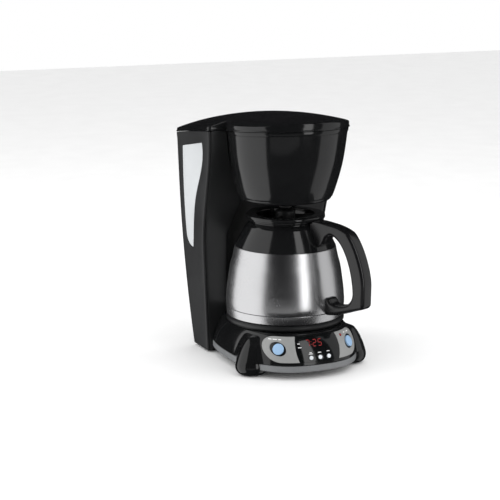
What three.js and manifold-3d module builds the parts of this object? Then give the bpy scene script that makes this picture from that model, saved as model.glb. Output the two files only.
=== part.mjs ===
// Drip coffee maker with a thermal carafe. Millimetres, +Z up, the front faces -Y.
// Everything is drawn around the carafe's own vertical axis (X = 0, Y = 0), with the floor at Z = 0.
// The last lines move the machine so that the origin is at the middle of its footprint.

import * as THREE from 'three';
import { mergeVertices } from 'three/addons/utils/BufferGeometryUtils.js';
import Module from 'manifold-3d';

const wasm = await Module();
wasm.setup();

// Clearances and walls
const GAP = 0.3;
const WALL = 2.8;
const FAR = 400;

// Segments round a full turn: large round shells, hidden round parts, and small parts
const FINE = 32;
const PLAIN = 20;
const SMALL = 12;

// Base: plan is a superellipse, and its sides round in towards the top
const BASE_HALF_WIDTH = 85.5;
const BASE_FRONT = 107;
const BASE_REAR = 125;
const BASE_POWER = 2.5;
const BASE_TOP = 56;
const BASE_BACK_EDGE = 66.9;
const SHOULDER_START = 18.4;
const SHOULDER_HEIGHT = 41.6;
const SHOULDER_PULL = 0.23;
const BAND_BOTTOM = 10;
const BAND_THICKNESS = 4;
const COVER_THICKNESS = 2.5;
const LEG_X = 73;
const LEG_Y = -51;
const LEG_RADIUS = 21.5;
const PAD_HEIGHT = 1.2;
const REAR_PAD_X = 62;
const REAR_PAD_Y = 88;

// Control panel on the front of the base
const PANEL_HALF_LENGTH = 66;
const PANEL_Z = 38.5;
const PANEL_HALF_HEIGHT = 15.5;
const PANEL_DEPTH = 1.5;
const PANEL_PROUD = 1;
const PANEL_SPAN = [19, 57];
const DISPLAY_HALF_WIDTH = 31;
const BIG_BUTTON_X = 51;
const BIG_BUTTON_Z = 39.5;
const BIG_BUTTON_RADIUS = 7.4;
const SMALL_BUTTON_PITCH = 12.6;
const SMALL_BUTTON_Z = 28.3;
const SMALL_BUTTON_RADIUS = 2.7;
const LIGHT_X = 38;
const LIGHT_Z = 49.5;
const LIGHT_RADIUS = 1.3;

// Platform that the carafe stands on
const PLATFORM_RADIUS = 79.5;
const PLATFORM_TOP = 64;

// Tower: half width, front edge and rear edge as functions of height
const TOWER_BOTTOM = 2;
const TOWER_HALF_WIDTH = 85;
const TOWER_WIDENING = 0.042;
const TOWER_REAR = 144.6;
const TOWER_REAR_SWEEP = 28.5;
const TOWER_REAR_SWEEP_TOP = 225;
const TOWER_FRONT_MIDDLE = 50;
const TOWER_FRONT_SWING = 18.5;
const SWING_START = 141;
const SWING_LENGTH = 170;
const PANEL_SKIN = 2.7;
const CAVITY_RADIUS = 88;
const GLAND_X = 48;
const GLAND_Z = 22;

// Brew head, a round tub that narrows and moves back towards its bottom
const BOWL_BOTTOM = 221;
const BOWL_TOP = 316;
const BOWL_CENTRE = -5;
const BOWL_SHIFT = 6;
const BOWL_PROFILE = [[61.5, 221], [67.5, 240], [74.8, 273], [79.5, 316], [80.2, 330]];
const NOZZLE_BOTTOM = 212;
const NOZZLE_RADIUS = 12;

// Lid: its crown rises above an arched seam, and falls away to the sides and the front
const CROWN_HEIGHT = 22;
const CROWN_CENTRE_Y = 80;
const CROWN_ACROSS = 0.00158;
const CROWN_ALONG = 0.000412;
const LID_THICKNESS = 2.6;
const LID_BOWL_RADIUS = 81;
const LID_HALF_WIDTH = 98;
const LID_TOWER_FRONT = 31.3;
const LID_REAR = 144.8;
const HINGE_Y = 149.4;
const HINGE_Z = 297.2;
const HINGE_RADIUS = 4;
const PIN_RADIUS = 1.5;

// Runs of the hinge barrel on the right-hand side: the housing's outside, the lid's inside
const HOUSING_BARREL = [45, 60];
const LID_BARREL = [30, 44.4];

// Carafe
const CARAFE_BOTTOM = 64.4;
const BASE_SEAM = 76.6;
const COLLAR_SEAM = 158;
const NECK_TOP = 195.4;
const RING_TOP = 200.8;
const RING_RADIUS = 52.9;
const HANDLE_ANGLE = 23.5;
const HANDLE_WIDTH = 21;
const LID_PLUG_RADIUS = 42.6;
const HUB_TOP = 205.4;
const SPOUT_REACH = 57.5;

// Reservoir and water path
const TANK_BOTTOM = 62;
const TANK_WALL = 1.8;
const RISER_Y = 98;
const RISER_RADIUS = 4.5;
const OUTLET_X = -32;
const OUTLET_Y = 98;
const HEATER_Z = 36;
const HEATER_X = 30;
const HEATER_END = 48;
const CHANNEL_LOW = 311.5;
const CHANNEL_HIGH = 320;
const SHOWER_Y = -6;

// Brew basket and its drip valve
const BASKET_BOTTOM = 225.4;
const VALVE_BOTTOM = 207.6;
const VALVE_TRAVEL = 4;

// ---------------------------------------------------------------- solids and placing

function signedVolume(points, faces) {
  let total = 0;
  for (let i = 0; i < faces.length; i += 3) {
    const [a, b, c] = [0, 1, 2].map((k) => new THREE.Vector3().fromArray(points, 3 * faces[i + k]));
    total += a.dot(b.cross(c));
  }
  return total / 6;
}

function solid(geometry) {
  geometry.deleteAttribute('normal');
  geometry.deleteAttribute('uv');
  const merged = mergeVertices(geometry, 1e-4);
  const points = merged.attributes.position.array;
  const faces = [];
  for (let i = 0; i < merged.index.count; i += 3) {
    const [a, b, c] = [0, 1, 2].map((k) => merged.index.getX(i + k));
    if (a !== b && b !== c && c !== a) {
      faces.push(a, b, c);
    }
  }
  if (signedVolume(points, faces) < 0) {
    faces.reverse();
  }
  const mesh = new wasm.Mesh({
    numProp: 3,
    vertProperties: Float32Array.from(points),
    triVerts: Uint32Array.from(faces),
  });
  return new wasm.Manifold(mesh);
}

function geometryOf(shape) {
  const mesh = shape.getMesh();
  const geometry = new THREE.BufferGeometry();
  geometry.setAttribute('position', new THREE.BufferAttribute(mesh.vertProperties, 3));
  geometry.setIndex(new THREE.BufferAttribute(mesh.triVerts, 1));
  geometry.computeVertexNormals();
  return geometry;
}

function union(...shapes) {
  return shapes.reduce((sum, shape) => sum.add(shape));
}

function warp(geometry, move) {
  const position = geometry.attributes.position;
  const point = new THREE.Vector3();
  for (let i = 0; i < position.count; i++) {
    move(point.fromBufferAttribute(position, i));
    position.setXYZ(i, point.x, point.y, point.z);
  }
  return geometry;
}

function extrude(shape, low, high, steps = 1, curveSegments = 12) {
  const settings = { depth: high - low, steps, curveSegments, bevelEnabled: false };
  return new THREE.ExtrudeGeometry(shape, settings).translate(0, 0, low);
}

// A shape drawn in (x, z), pushed along Y
function prismY(shape, low, high) {
  return solid(extrude(shape, 0, high - low, 1, 8).rotateX(Math.PI / 2).translate(0, high, 0));
}

// A shape drawn in (y, z), pushed along X
function prismX(shape, low, high) {
  const turn = new THREE.Matrix4().makeBasis(
    new THREE.Vector3(0, 1, 0), new THREE.Vector3(0, 0, 1), new THREE.Vector3(1, 0, 0));
  return solid(extrude(shape, low, high).applyMatrix4(turn));
}

function box(x0, x1, y0, y1, z0, z1) {
  const geometry = new THREE.BoxGeometry(x1 - x0, y1 - y0, z1 - z0);
  return solid(geometry.translate((x0 + x1) / 2, (y0 + y1) / 2, (z0 + z1) / 2));
}

// An upright cylinder
function rod(x, y, radius, low, high, segments = SMALL) {
  const geometry = new THREE.CylinderGeometry(radius, radius, high - low, segments);
  return solid(geometry.rotateX(Math.PI / 2).translate(x, y, (low + high) / 2));
}

// A cylinder lying along X
function bar(y, z, radius, x0, x1, segments = 12) {
  const geometry = new THREE.CylinderGeometry(radius, radius, x1 - x0, segments);
  return solid(geometry.rotateZ(Math.PI / 2).translate((x0 + x1) / 2, y, z));
}

// A solid of revolution about Z from [radius, height] pairs
function latheGeometry(profile, segments) {
  const points = profile.map(([radius, height]) => new THREE.Vector2(radius, height));
  return new THREE.LatheGeometry(points, segments).rotateX(Math.PI / 2).rotateZ(Math.PI / 2);
}

function lathe(profile, segments = FINE) {
  return solid(latheGeometry(profile, segments));
}

function ring(inner, outer, low, high, segments = FINE) {
  return lathe([[inner, low], [outer, low], [outer, high], [inner, high], [inner, low]], segments);
}

function roundedRectangle(x0, y0, x1, y1, radius) {
  const shape = new THREE.Shape();
  shape.moveTo(x0 + radius, y0);
  shape.lineTo(x1 - radius, y0);
  shape.absarc(x1 - radius, y0 + radius, radius, -Math.PI / 2, 0);
  shape.absarc(x1 - radius, y1 - radius, radius, 0, Math.PI / 2);
  shape.absarc(x0 + radius, y1 - radius, radius, Math.PI / 2, Math.PI);
  shape.absarc(x0 + radius, y0 + radius, radius, Math.PI, 1.5 * Math.PI);
  return shape;
}

function smoothProfile(pairs, divisions) {
  const curve = new THREE.SplineCurve(pairs.map(([r, z]) => new THREE.Vector2(r, z)));
  return curve.getPoints(divisions).map((point) => [point.x, point.y]);
}

const finishes = {
  gloss_black: { color: 0x121315, roughness: 0.15, metalness: 0 },
  satin_black: { color: 0x1b1c1e, roughness: 0.45, metalness: 0 },
  textured_grey: { color: 0x3a3c3e, roughness: 0.8, metalness: 0 },
  silver_plastic: { color: 0xa9abad, roughness: 0.4, metalness: 0.5 },
  grey_plastic: { color: 0x8d8f91, roughness: 0.45, metalness: 0.2 },
  brushed_steel: { color: 0xc4c7ca, roughness: 0.3, metalness: 1 },
  window_plastic: { color: 0xe4e8ea, roughness: 0.3, metalness: 0 },
  clear_black: { color: 0x070809, roughness: 0.08, metalness: 0 },
  blue_plastic: { color: 0x9fc0dc, roughness: 0.25, metalness: 0 },
  white_plastic: { color: 0xd9dde0, roughness: 0.4, metalness: 0 },
  red_plastic: { color: 0xb5121a, roughness: 0.3, metalness: 0 },
  tank_plastic: { color: 0xcfd6d8, roughness: 0.35, metalness: 0 },
  rubber: { color: 0x202020, roughness: 0.9, metalness: 0 },
  silicone: { color: 0xd8d2c8, roughness: 0.6, metalness: 0 },
  aluminium: { color: 0xb9bcbf, roughness: 0.35, metalness: 1 },
  zinc_steel: { color: 0xaeb1b4, roughness: 0.35, metalness: 1 },
  board_green: { color: 0x1f5a35, roughness: 0.6, metalness: 0 },
};

const machine = new THREE.Group();
const carafe = new THREE.Group();
machine.add(carafe);

function addMesh(name, geometry, finish, parent = machine) {
  const material = new THREE.MeshStandardMaterial(finishes[finish]);
  const mesh = new THREE.Mesh(geometry, material);
  mesh.name = name;
  parent.add(mesh);
  return mesh;
}

function addPart(name, shape, finish, parent = machine) {
  return addMesh(name, geometryOf(shape), finish, parent);
}

// ---------------------------------------------------------------- base

function shoulder(z) {
  const rise = Math.max(0, z - SHOULDER_START) / SHOULDER_HEIGHT;
  return 1 - SHOULDER_PULL + SHOULDER_PULL * (1 - Math.min(1, rise) ** 1.5) ** (1 / 1.5);
}

function superellipse(halfWidth, front, rear, count = 32) {
  const points = [];
  for (let i = 0; i < count; i++) {
    const angle = (2 * Math.PI * i) / count;
    const [c, s] = [Math.cos(angle), Math.sin(angle)];
    const reach = s < 0 ? front : rear;
    const x = halfWidth * Math.sign(c) * Math.abs(c) ** (2 / BASE_POWER);
    const y = reach * Math.sign(s) * Math.abs(s) ** (2 / BASE_POWER);
    points.push(new THREE.Vector2(x, y));
  }
  return new THREE.Shape(points);
}

const baseOutline = (grow) =>
  superellipse(BASE_HALF_WIDTH + grow, BASE_FRONT + grow, BASE_REAR + grow);

// The straight-sided foot of the base, grown by `grow` all round
const basePlinth = (grow, low, high) => solid(extrude(baseOutline(grow), low, high));

// The base's body, grown by `grow` all round, between two heights
function baseBody(grow, low, high, steps = 4) {
  return solid(warp(extrude(baseOutline(grow), low, high, steps), (point) => {
    const scale = shoulder(point.z);
    point.x *= scale;
    point.y *= scale;
  }));
}

// Depth of the base's front surface at a place on the control panel
function frontY(x, z) {
  const scale = shoulder(z);
  const across = (Math.abs(x) / (BASE_HALF_WIDTH * scale)) ** BASE_POWER;
  return -BASE_FRONT * scale * (1 - across) ** (1 / BASE_POWER);
}

// The panel's outward direction at that place
function frontNormal(x, z) {
  const step = 0.5;
  const slopeX = (frontY(x + step, z) - frontY(x - step, z)) / (2 * step);
  const slopeZ = (frontY(x, z + step) - frontY(x, z - step)) / (2 * step);
  return new THREE.Vector3(slopeX, -1, slopeZ).normalize();
}

// Stands a geometry drawn along +Z on the panel at (x, z)
function standOnPanel(object, x, z) {
  object.position.set(x, frontY(x, z), z);
  object.quaternion.setFromUnitVectors(new THREE.Vector3(0, 0, 1), frontNormal(x, z));
  object.updateMatrix();
  return object;
}

function panelRod(x, z, radius, low, high, segments = 18) {
  const geometry = new THREE.CylinderGeometry(radius, radius, high - low, segments);
  geometry.rotateX(Math.PI / 2).translate(0, 0, (low + high) / 2);
  return solid(geometry.applyMatrix4(standOnPanel(new THREE.Object3D(), x, z).matrix));
}

function ovalShape(grow) {
  const end = PANEL_HALF_LENGTH - PANEL_HALF_HEIGHT;
  const shape = new THREE.Shape();
  shape.absarc(end, PANEL_Z, PANEL_HALF_HEIGHT + grow, -Math.PI / 2, Math.PI / 2);
  shape.absarc(-end, PANEL_Z, PANEL_HALF_HEIGHT + grow, Math.PI / 2, 1.5 * Math.PI);
  return shape;
}

// The dark middle of the panel: flat above and below, with bowed ends
function displayShape(grow) {
  const half = PANEL_HALF_HEIGHT - 1.2 + grow;
  const bow = 3;
  const edge = DISPLAY_HALF_WIDTH - bow + grow;
  const shape = new THREE.Shape();
  shape.moveTo(-edge, PANEL_Z - half);
  shape.lineTo(edge, PANEL_Z - half);
  shape.quadraticCurveTo(edge + 2 * bow, PANEL_Z, edge, PANEL_Z + half);
  shape.lineTo(-edge, PANEL_Z + half);
  shape.quadraticCurveTo(-edge - 2 * bow, PANEL_Z, -edge, PANEL_Z - half);
  return shape;
}

const bigButtons = [
  ['button_brew_later', -BIG_BUTTON_X],
  ['button_on_off', BIG_BUTTON_X],
];
const smallButtons = [
  ['button_program', -SMALL_BUTTON_PITCH],
  ['button_hour', 0],
  ['button_minute', SMALL_BUTTON_PITCH],
];

function buttonWells() {
  const wells = [panelRod(LIGHT_X, LIGHT_Z, LIGHT_RADIUS + GAP, -12, 8, 8)];
  for (const [, x] of bigButtons) {
    wells.push(panelRod(x, BIG_BUTTON_Z, BIG_BUTTON_RADIUS + 0.6, -12, 8));
  }
  for (const [, x] of smallButtons) {
    wells.push(panelRod(x, SMALL_BUTTON_Z, SMALL_BUTTON_RADIUS + 0.4, -12, 8, SMALL));
  }
  return union(...wells);
}

const coverScrews = [[-45, 50], [45, 50], [-28, -80], [28, -80]];

function addBase() {
  const frontHalf = box(-FAR, FAR, -FAR, BASE_BACK_EDGE, -FAR, FAR);
  const legProfile = [[0, PAD_HEIGHT], [16, PAD_HEIGHT], [20, 5], [LEG_RADIUS, 12], [19, 22],
    [15.5, 31], [11, 40], [5, 48], [0, 51]];
  const leg = latheGeometry(legProfile, 20);
  const legs = union(
    solid(leg.clone().translate(-LEG_X, LEG_Y, 0)),
    solid(leg.clone().translate(LEG_X, LEG_Y, 0)));
  const bandTop = SHOULDER_START;
  const inside = baseBody(-WALL - 0.4, BAND_BOTTOM - 2, BASE_TOP - WALL);
  const slot = basePlinth(GAP, BAND_BOTTOM - GAP, bandTop + GAP)
    .subtract(basePlinth(-BAND_THICKNESS - 1, 0, 30));
  const pocket = baseBody(PANEL_PROUD + 2, ...PANEL_SPAN)
    .subtract(baseBody(-PANEL_DEPTH - GAP, ...PANEL_SPAN))
    .intersect(prismY(ovalShape(GAP), -FAR, 0));
  const wells = buttonWells();
  let shell = baseBody(0, bandTop + GAP, BASE_TOP).add(legs);
  shell = shell.subtract(inside).subtract(slot).subtract(pocket).subtract(wells);
  shell = shell.subtract(box(-19, 19, -FAR, -60, 35, 51));
  for (const [x, y] of coverScrews) {
    const boss = rod(x, y, 4, BAND_BOTTOM + COVER_THICKNESS + 2 * GAP, BASE_TOP - 1, 8);
    shell = shell.add(boss).subtract(rod(x, y, 1.9, 0, 30, 8));
  }
  addPart('base_shell', shell.intersect(frontHalf), 'gloss_black');

  const band = basePlinth(0, BAND_BOTTOM, bandTop)
    .subtract(basePlinth(-BAND_THICKNESS, 0, 30))
    .intersect(frontHalf);
  addPart('base_trim_band', band, 'grey_plastic');

  const coverBottom = BAND_BOTTOM + GAP;
  let cover = basePlinth(-BAND_THICKNESS - 0.6, coverBottom, coverBottom + COVER_THICKNESS);
  for (const [x, y] of coverScrews) {
    cover = cover.subtract(rod(x, y, 1.9, 0, 30, 8));
  }
  addPart('bottom_cover', cover.intersect(frontHalf), 'satin_black');

  coverScrews.forEach(([x, y], i) => {
    const head = rod(x, y, 3.6, BAND_BOTTOM - 2.2, BAND_BOTTOM, 12);
    const cross = union(box(-0.5, 0.5, -2.4, 2.4, 0, 9), box(-2.4, 2.4, -0.5, 0.5, 0, 9));
    const screw = head.subtract(cross.translate([x, y, 0])).add(rod(x, y, 1.5, 9.5, 24, 8));
    addPart(`cover_screw_${i + 1}`, screw, 'zinc_steel');
  });

  const feet = [['front_left', -LEG_X, LEG_Y], ['front_right', LEG_X, LEG_Y],
    ['rear_left', -REAR_PAD_X, REAR_PAD_Y], ['rear_right', REAR_PAD_X, REAR_PAD_Y]];
  for (const [name, x, y] of feet) {
    const front = y < 0;
    const top = front ? PAD_HEIGHT - GAP : TOWER_BOTTOM - GAP;
    const pad = lathe([[0, 0], [9, 0], [10, top / 2], [10, top], [0, top]], SMALL);
    const mesh = addPart(`rubber_foot_${name}`, pad, 'rubber');
    mesh.position.set(x, y, 0);
  }

  const platform = lathe([[0, 60.8], [73.5, 60.8], [73.5, BASE_TOP + GAP], [77.5, BASE_TOP + GAP],
    [PLATFORM_RADIUS, 59], [PLATFORM_RADIUS, 62], [PLATFORM_RADIUS - 2, PLATFORM_TOP],
    [0, PLATFORM_TOP]]);
  addPart('carafe_platform', platform, 'satin_black');
  return wells;
}

function addControls(wells) {
  const skin = baseBody(PANEL_PROUD, ...PANEL_SPAN).subtract(baseBody(-PANEL_DEPTH, ...PANEL_SPAN));
  const fascia = skin.intersect(prismY(ovalShape(0), -FAR, 0))
    .subtract(prismY(displayShape(GAP), -FAR, 0))
    .subtract(wells);
  // The silver rim above and below the display keeps both ends in one piece
  addPart('control_fascia', fascia, 'silver_plastic');
  const window = skin.intersect(prismY(displayShape(0), -FAR, 0)).subtract(wells);
  addPart('display_window', window, 'clear_black');

  function addButton(name, x, z, radius, finish, segments) {
    const cap = rod(0, 0, radius, -5, PANEL_PROUD + 0.2, segments);
    const crown = lathe([[0, PANEL_PROUD - 0.5], [radius, PANEL_PROUD - 0.5],
      [radius, PANEL_PROUD + 0.5], [radius * 0.8, PANEL_PROUD + 1.1], [0, PANEL_PROUD + 1.3]], segments);
    const stem = rod(0, 0, radius * 0.45, -9, -4, 8);
    standOnPanel(addPart(name, union(cap, crown, stem), finish), x, z);
  }
  for (const [name, x] of bigButtons) {
    addButton(name, x, BIG_BUTTON_Z, BIG_BUTTON_RADIUS, 'blue_plastic', 18);
  }
  for (const [name, x] of smallButtons) {
    addButton(name, x, SMALL_BUTTON_Z, SMALL_BUTTON_RADIUS, 'white_plastic', 12);
  }
  const light = rod(0, 0, LIGHT_RADIUS, -5, PANEL_PROUD + 0.4, 8);
  standOnPanel(addPart('power_light', light, 'red_plastic'), LIGHT_X, LIGHT_Z);
  addPart('control_board', box(-46, 46, -71.5, -69.9, 20, 46), 'board_green');
  addPart('clock_module', box(-16, 16, -87, -71.8, 36, 50), 'clear_black');
}

// ---------------------------------------------------------------- tower

const towerHalfWidth = (z) => TOWER_HALF_WIDTH + TOWER_WIDENING * z;
const towerRear = (z) =>
  TOWER_REAR - TOWER_REAR_SWEEP * Math.max(0, 1 - z / TOWER_REAR_SWEEP_TOP) ** 2;

function towerFront(z) {
  const swing = THREE.MathUtils.clamp((z - SWING_START) / SWING_LENGTH, 0, 1);
  return TOWER_FRONT_MIDDLE + TOWER_FRONT_SWING * Math.cos(Math.PI * swing);
}

// The seam between the lid and the housing falls gently towards the rear
const seamHeight = (y) => 314.6 - 0.0866 * y - 0.000222 * y * y;

// The tower's body, with its sides, front and rear drawn in by the given amounts
function towerBody(sides, front, rear, low = TOWER_BOTTOM) {
  const outline = roundedRectangle(-100, 0, 100, 100, 6);
  const body = solid(warp(extrude(outline, 0, 330, 9, 2), (point) => {
    const [y0, y1] = [towerFront(point.z) + front, towerRear(point.z) - rear];
    point.x *= (towerHalfWidth(point.z) - sides) / 100;
    point.y = y0 + ((y1 - y0) * point.y) / 100;
  }));
  return body.intersect(box(-FAR, FAR, -FAR, FAR, low, FAR));
}

// Everything below the seam, raised or lowered by `lift`
function belowSeam(lift) {
  const shape = new THREE.Shape();
  shape.moveTo(-160, -20);
  shape.lineTo(220, -20);
  const count = 7;
  for (let i = 0; i <= count; i++) {
    const y = 220 - (380 * i) / count;
    shape.lineTo(y, seamHeight(y) + lift);
  }
  return prismX(shape, -130, 130);
}

const bowlCurve = new THREE.SplineCurve(BOWL_PROFILE.map(([r, z]) => new THREE.Vector2(r, z)));

function bowlShift(z) {
  const drop = Math.max(0, BOWL_TOP - z) / (BOWL_TOP - 225);
  return BOWL_CENTRE + BOWL_SHIFT * drop ** 1.3;
}

// The brew head's outside, drawn in by `inset`, from `low` to the curve's top
function bowlBody(inset, low = BOWL_BOTTOM, segments = 28) {
  const outline = bowlCurve.getPoints(5).map((point) => [point.x - inset, point.y]);
  outline[0][1] = low;
  const profile = [[0, low], ...outline, [0, outline[5][1]]];
  return solid(warp(latheGeometry(profile, segments), (point) => {
    point.y += bowlShift(point.z);
  }));
}

// The hollow that the carafe stands in, grown by `grow`
function cavityBody(grow) {
  return lathe([[0, BASE_TOP - grow], [CAVITY_RADIUS + grow, BASE_TOP - grow],
    [CAVITY_RADIUS + grow, 150], [84 + grow, 172], [71 + grow, 205], [58 + grow, BOWL_BOTTOM + 4],
    [0, BOWL_BOTTOM + 4]], 28);
}

function cavityAndBowl(grow) {
  return cavityBody(grow).add(bowlBody(-GAP - grow, BOWL_BOTTOM - GAP - grow));
}

// Reservoir window in the left side, drawn in (y, z)
function windowShape(grow) {
  const shape = new THREE.Shape();
  shape.moveTo(56 - grow, 293.5 + grow);
  shape.bezierCurveTo(48 - grow, 262, 80 - grow, 236, 90 - grow, 206);
  shape.bezierCurveTo(99 - grow, 180, 99 - grow, 162, 103.5 - grow, 142 - grow);
  shape.quadraticCurveTo(121 + grow, 142 - grow, 126 + grow, 156);
  shape.bezierCurveTo(130 + grow, 185, 130.5 + grow, 240, 125.5 + grow, 281 + grow);
  shape.closePath();
  return shape;
}

function rearOpening(grow) {
  return roundedRectangle(-68 - grow, 34 - grow, 68 + grow, 268 + grow, 6);
}

const hingeSides = [['left', -1], ['right', 1]];

function barrel(side, [x0, x1]) {
  const [low, high] = side > 0 ? [x0, x1] : [-x1, -x0];
  return { low, high, tube: bar(HINGE_Y, HINGE_Z, HINGE_RADIUS, low, high) };
}

function addTower() {
  const windowCut = prismX(windowShape(GAP), -FAR, -60);
  const rearCut = prismY(rearOpening(GAP), 95, FAR);
  const whole = towerBody(0, 0, 0).intersect(belowSeam(-0.15)).subtract(cavityAndBowl(0));
  const core = towerBody(PANEL_SKIN + GAP, -20, -20, 0);
  const hollow = towerBody(PANEL_SKIN + GAP + WALL, WALL, WALL, TOWER_BOTTOM + WALL)
    .subtract(cavityAndBowl(WALL));
  let shell = whole.intersect(core).subtract(hollow).subtract(windowCut).subtract(rearCut);
  shell = shell.subtract(box(-45, 45, 60, 82, 15, 50));
  const gland = prismY(new THREE.Shape().absarc(GLAND_X, GLAND_Z, 6.3, 0, 2 * Math.PI), 95, FAR);
  shell = shell.subtract(gland);
  for (const [, side] of hingeSides) {
    const { low, high, tube } = barrel(side, HOUSING_BARREL);
    const arm = box(low, high, TOWER_REAR - 2.4, HINGE_Y, HINGE_Z - HINGE_RADIUS - 1.5, HINGE_Z - 0.6);
    shell = shell.add(tube).add(arm);
    const [boreLow, boreHigh] = side > 0 ? [low - 1, high - 2] : [low + 2, high + 1];
    shell = shell.subtract(bar(HINGE_Y, HINGE_Z, PIN_RADIUS + 0.35, boreLow, boreHigh, 8));
  }
  addPart('tower_shell', shell, 'satin_black');

  const skins = whole.subtract(towerBody(PANEL_SKIN, -20, -20, 0));
  const left = skins.intersect(box(-FAR, -60, -FAR, FAR, -FAR, FAR));
  const right = skins.intersect(box(60, FAR, -FAR, FAR, -FAR, FAR));
  addPart('side_panel_left', left.subtract(windowCut), 'textured_grey');
  addPart('side_panel_right', right, 'textured_grey');
  const lens = towerBody(0.4, 0, 0).subtract(towerBody(PANEL_SKIN + 1.6, -20, -20, 0))
    .intersect(prismX(windowShape(0), -FAR, -60));
  addPart('water_window', lens, 'window_plastic');

  const back = whole.intersect(core).subtract(towerBody(0, -30, WALL - 0.3, 0))
    .intersect(prismY(rearOpening(0), 95, FAR));
  addPart('rear_cover', back, 'satin_black');

  const glandRing = new THREE.Shape().absarc(GLAND_X, GLAND_Z, 6, 0, 2 * Math.PI);
  glandRing.holes.push(new THREE.Path().absarc(GLAND_X, GLAND_Z, 3.4, 0, 2 * Math.PI));
  addPart('cord_gland', prismY(glandRing, towerRear(GLAND_Z) - 7, towerRear(GLAND_Z) + 2), 'rubber');

  for (const [name, side] of hingeSides) {
    const [x0, x1] = side > 0 ? [31, 57.6] : [-57.6, -31];
    addPart(`hinge_pin_${name}`, bar(HINGE_Y, HINGE_Z, PIN_RADIUS, x0, x1, 8), 'zinc_steel');
  }
}

function addReservoir() {
  const notch = (grow) => box(-7.5 - grow, 7.5 + grow, 40, RISER_Y + 7.5 + grow, 0, FAR);
  const skin = PANEL_SKIN + WALL + 2 * GAP + 1;
  const outside = towerBody(skin, WALL + 0.6, WALL + 0.6, TANK_BOTTOM)
    .subtract(cavityAndBowl(WALL + 0.6)).subtract(notch(0)).intersect(belowSeam(-12));
  const wall = TANK_WALL + WALL + 0.6;
  const inside = towerBody(skin + TANK_WALL, wall, wall, TANK_BOTTOM + TANK_WALL)
    .subtract(cavityAndBowl(wall)).subtract(notch(TANK_WALL));
  const outlet = rod(OUTLET_X, OUTLET_Y, 5, TANK_BOTTOM - 8, TANK_BOTTOM + 1, 12);
  const tank = outside.subtract(inside).add(outlet)
    .subtract(rod(OUTLET_X, OUTLET_Y, 3, TANK_BOTTOM - 20, TANK_BOTTOM + 5, 8));
  addPart('reservoir_tank', tank, 'tank_plastic');
}

// ---------------------------------------------------------------- water path

function tubeGeometry(points, outer, inner, steps, sides) {
  const curve = new THREE.CatmullRomCurve3(points.map((p) => new THREE.Vector3(...p)));
  const shape = new THREE.Shape().absarc(0, 0, outer, 0, 2 * Math.PI);
  if (inner > 0) {
    shape.holes.push(new THREE.Path().absarc(0, 0, inner, 0, 2 * Math.PI));
  }
  return new THREE.ExtrudeGeometry(shape, { steps, curveSegments: sides, extrudePath: curve });
}

function addWaterPath() {
  const bend = [];
  for (let i = 0; i <= 6; i++) {
    const angle = Math.PI + (Math.PI * i) / 6;
    bend.push([HEATER_X * Math.cos(angle), HEATER_X * Math.sin(angle), HEATER_Z]);
  }
  const heater = [[-HEATER_X, HEATER_END, HEATER_Z], [-HEATER_X, 24, HEATER_Z], ...bend,
    [HEATER_X, 24, HEATER_Z], [HEATER_X, HEATER_END, HEATER_Z]];
  addPart('heater_tube', solid(tubeGeometry(heater, 6.5, 4, 16, 3)), 'aluminium');
  addPart('thermostat', box(-8, 8, -37, -23, HEATER_Z + 6.9, HEATER_Z + 12), 'zinc_steel');

  const valveTop = TANK_BOTTOM - 8 - GAP;
  const valve = lathe([[3, valveTop - 14], [7, valveTop - 14], [7, valveTop - 4], [5, valveTop],
    [3, valveTop], [3, valveTop - 14]], 10);
  addPart('check_valve', valve.translate([OUTLET_X, OUTLET_Y, 0]), 'white_plastic');
  const hoseTop = valveTop - 14 - GAP;
  const cold = [[OUTLET_X, OUTLET_Y, hoseTop], [OUTLET_X, OUTLET_Y, hoseTop - 6], [OUTLET_X, 93, 27],
    [-31, 81, 25], [-HEATER_X, 68, 32], [-HEATER_X, 58, HEATER_Z],
    [-HEATER_X, HEATER_END + 2 * GAP, HEATER_Z]];
  addPart('cold_water_hose', solid(tubeGeometry(cold, 5, 3, 11, 3)), 'silicone');
  const hot = [[HEATER_X, HEATER_END + 2 * GAP, HEATER_Z], [HEATER_X, 58, HEATER_Z], [27, 72, 34],
    [14, 89, 28], [2, 97, 31], [0, RISER_Y, 39], [0, RISER_Y, 46.4]];
  addPart('hot_water_hose', solid(tubeGeometry(hot, 5, 3, 11, 3)), 'silicone');
  const riser = ring(3, RISER_RADIUS, 47, 310, 10);
  addPart('riser_tube', riser.translate([0, RISER_Y, 0]), 'white_plastic');
}

// ---------------------------------------------------------------- brew head

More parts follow.
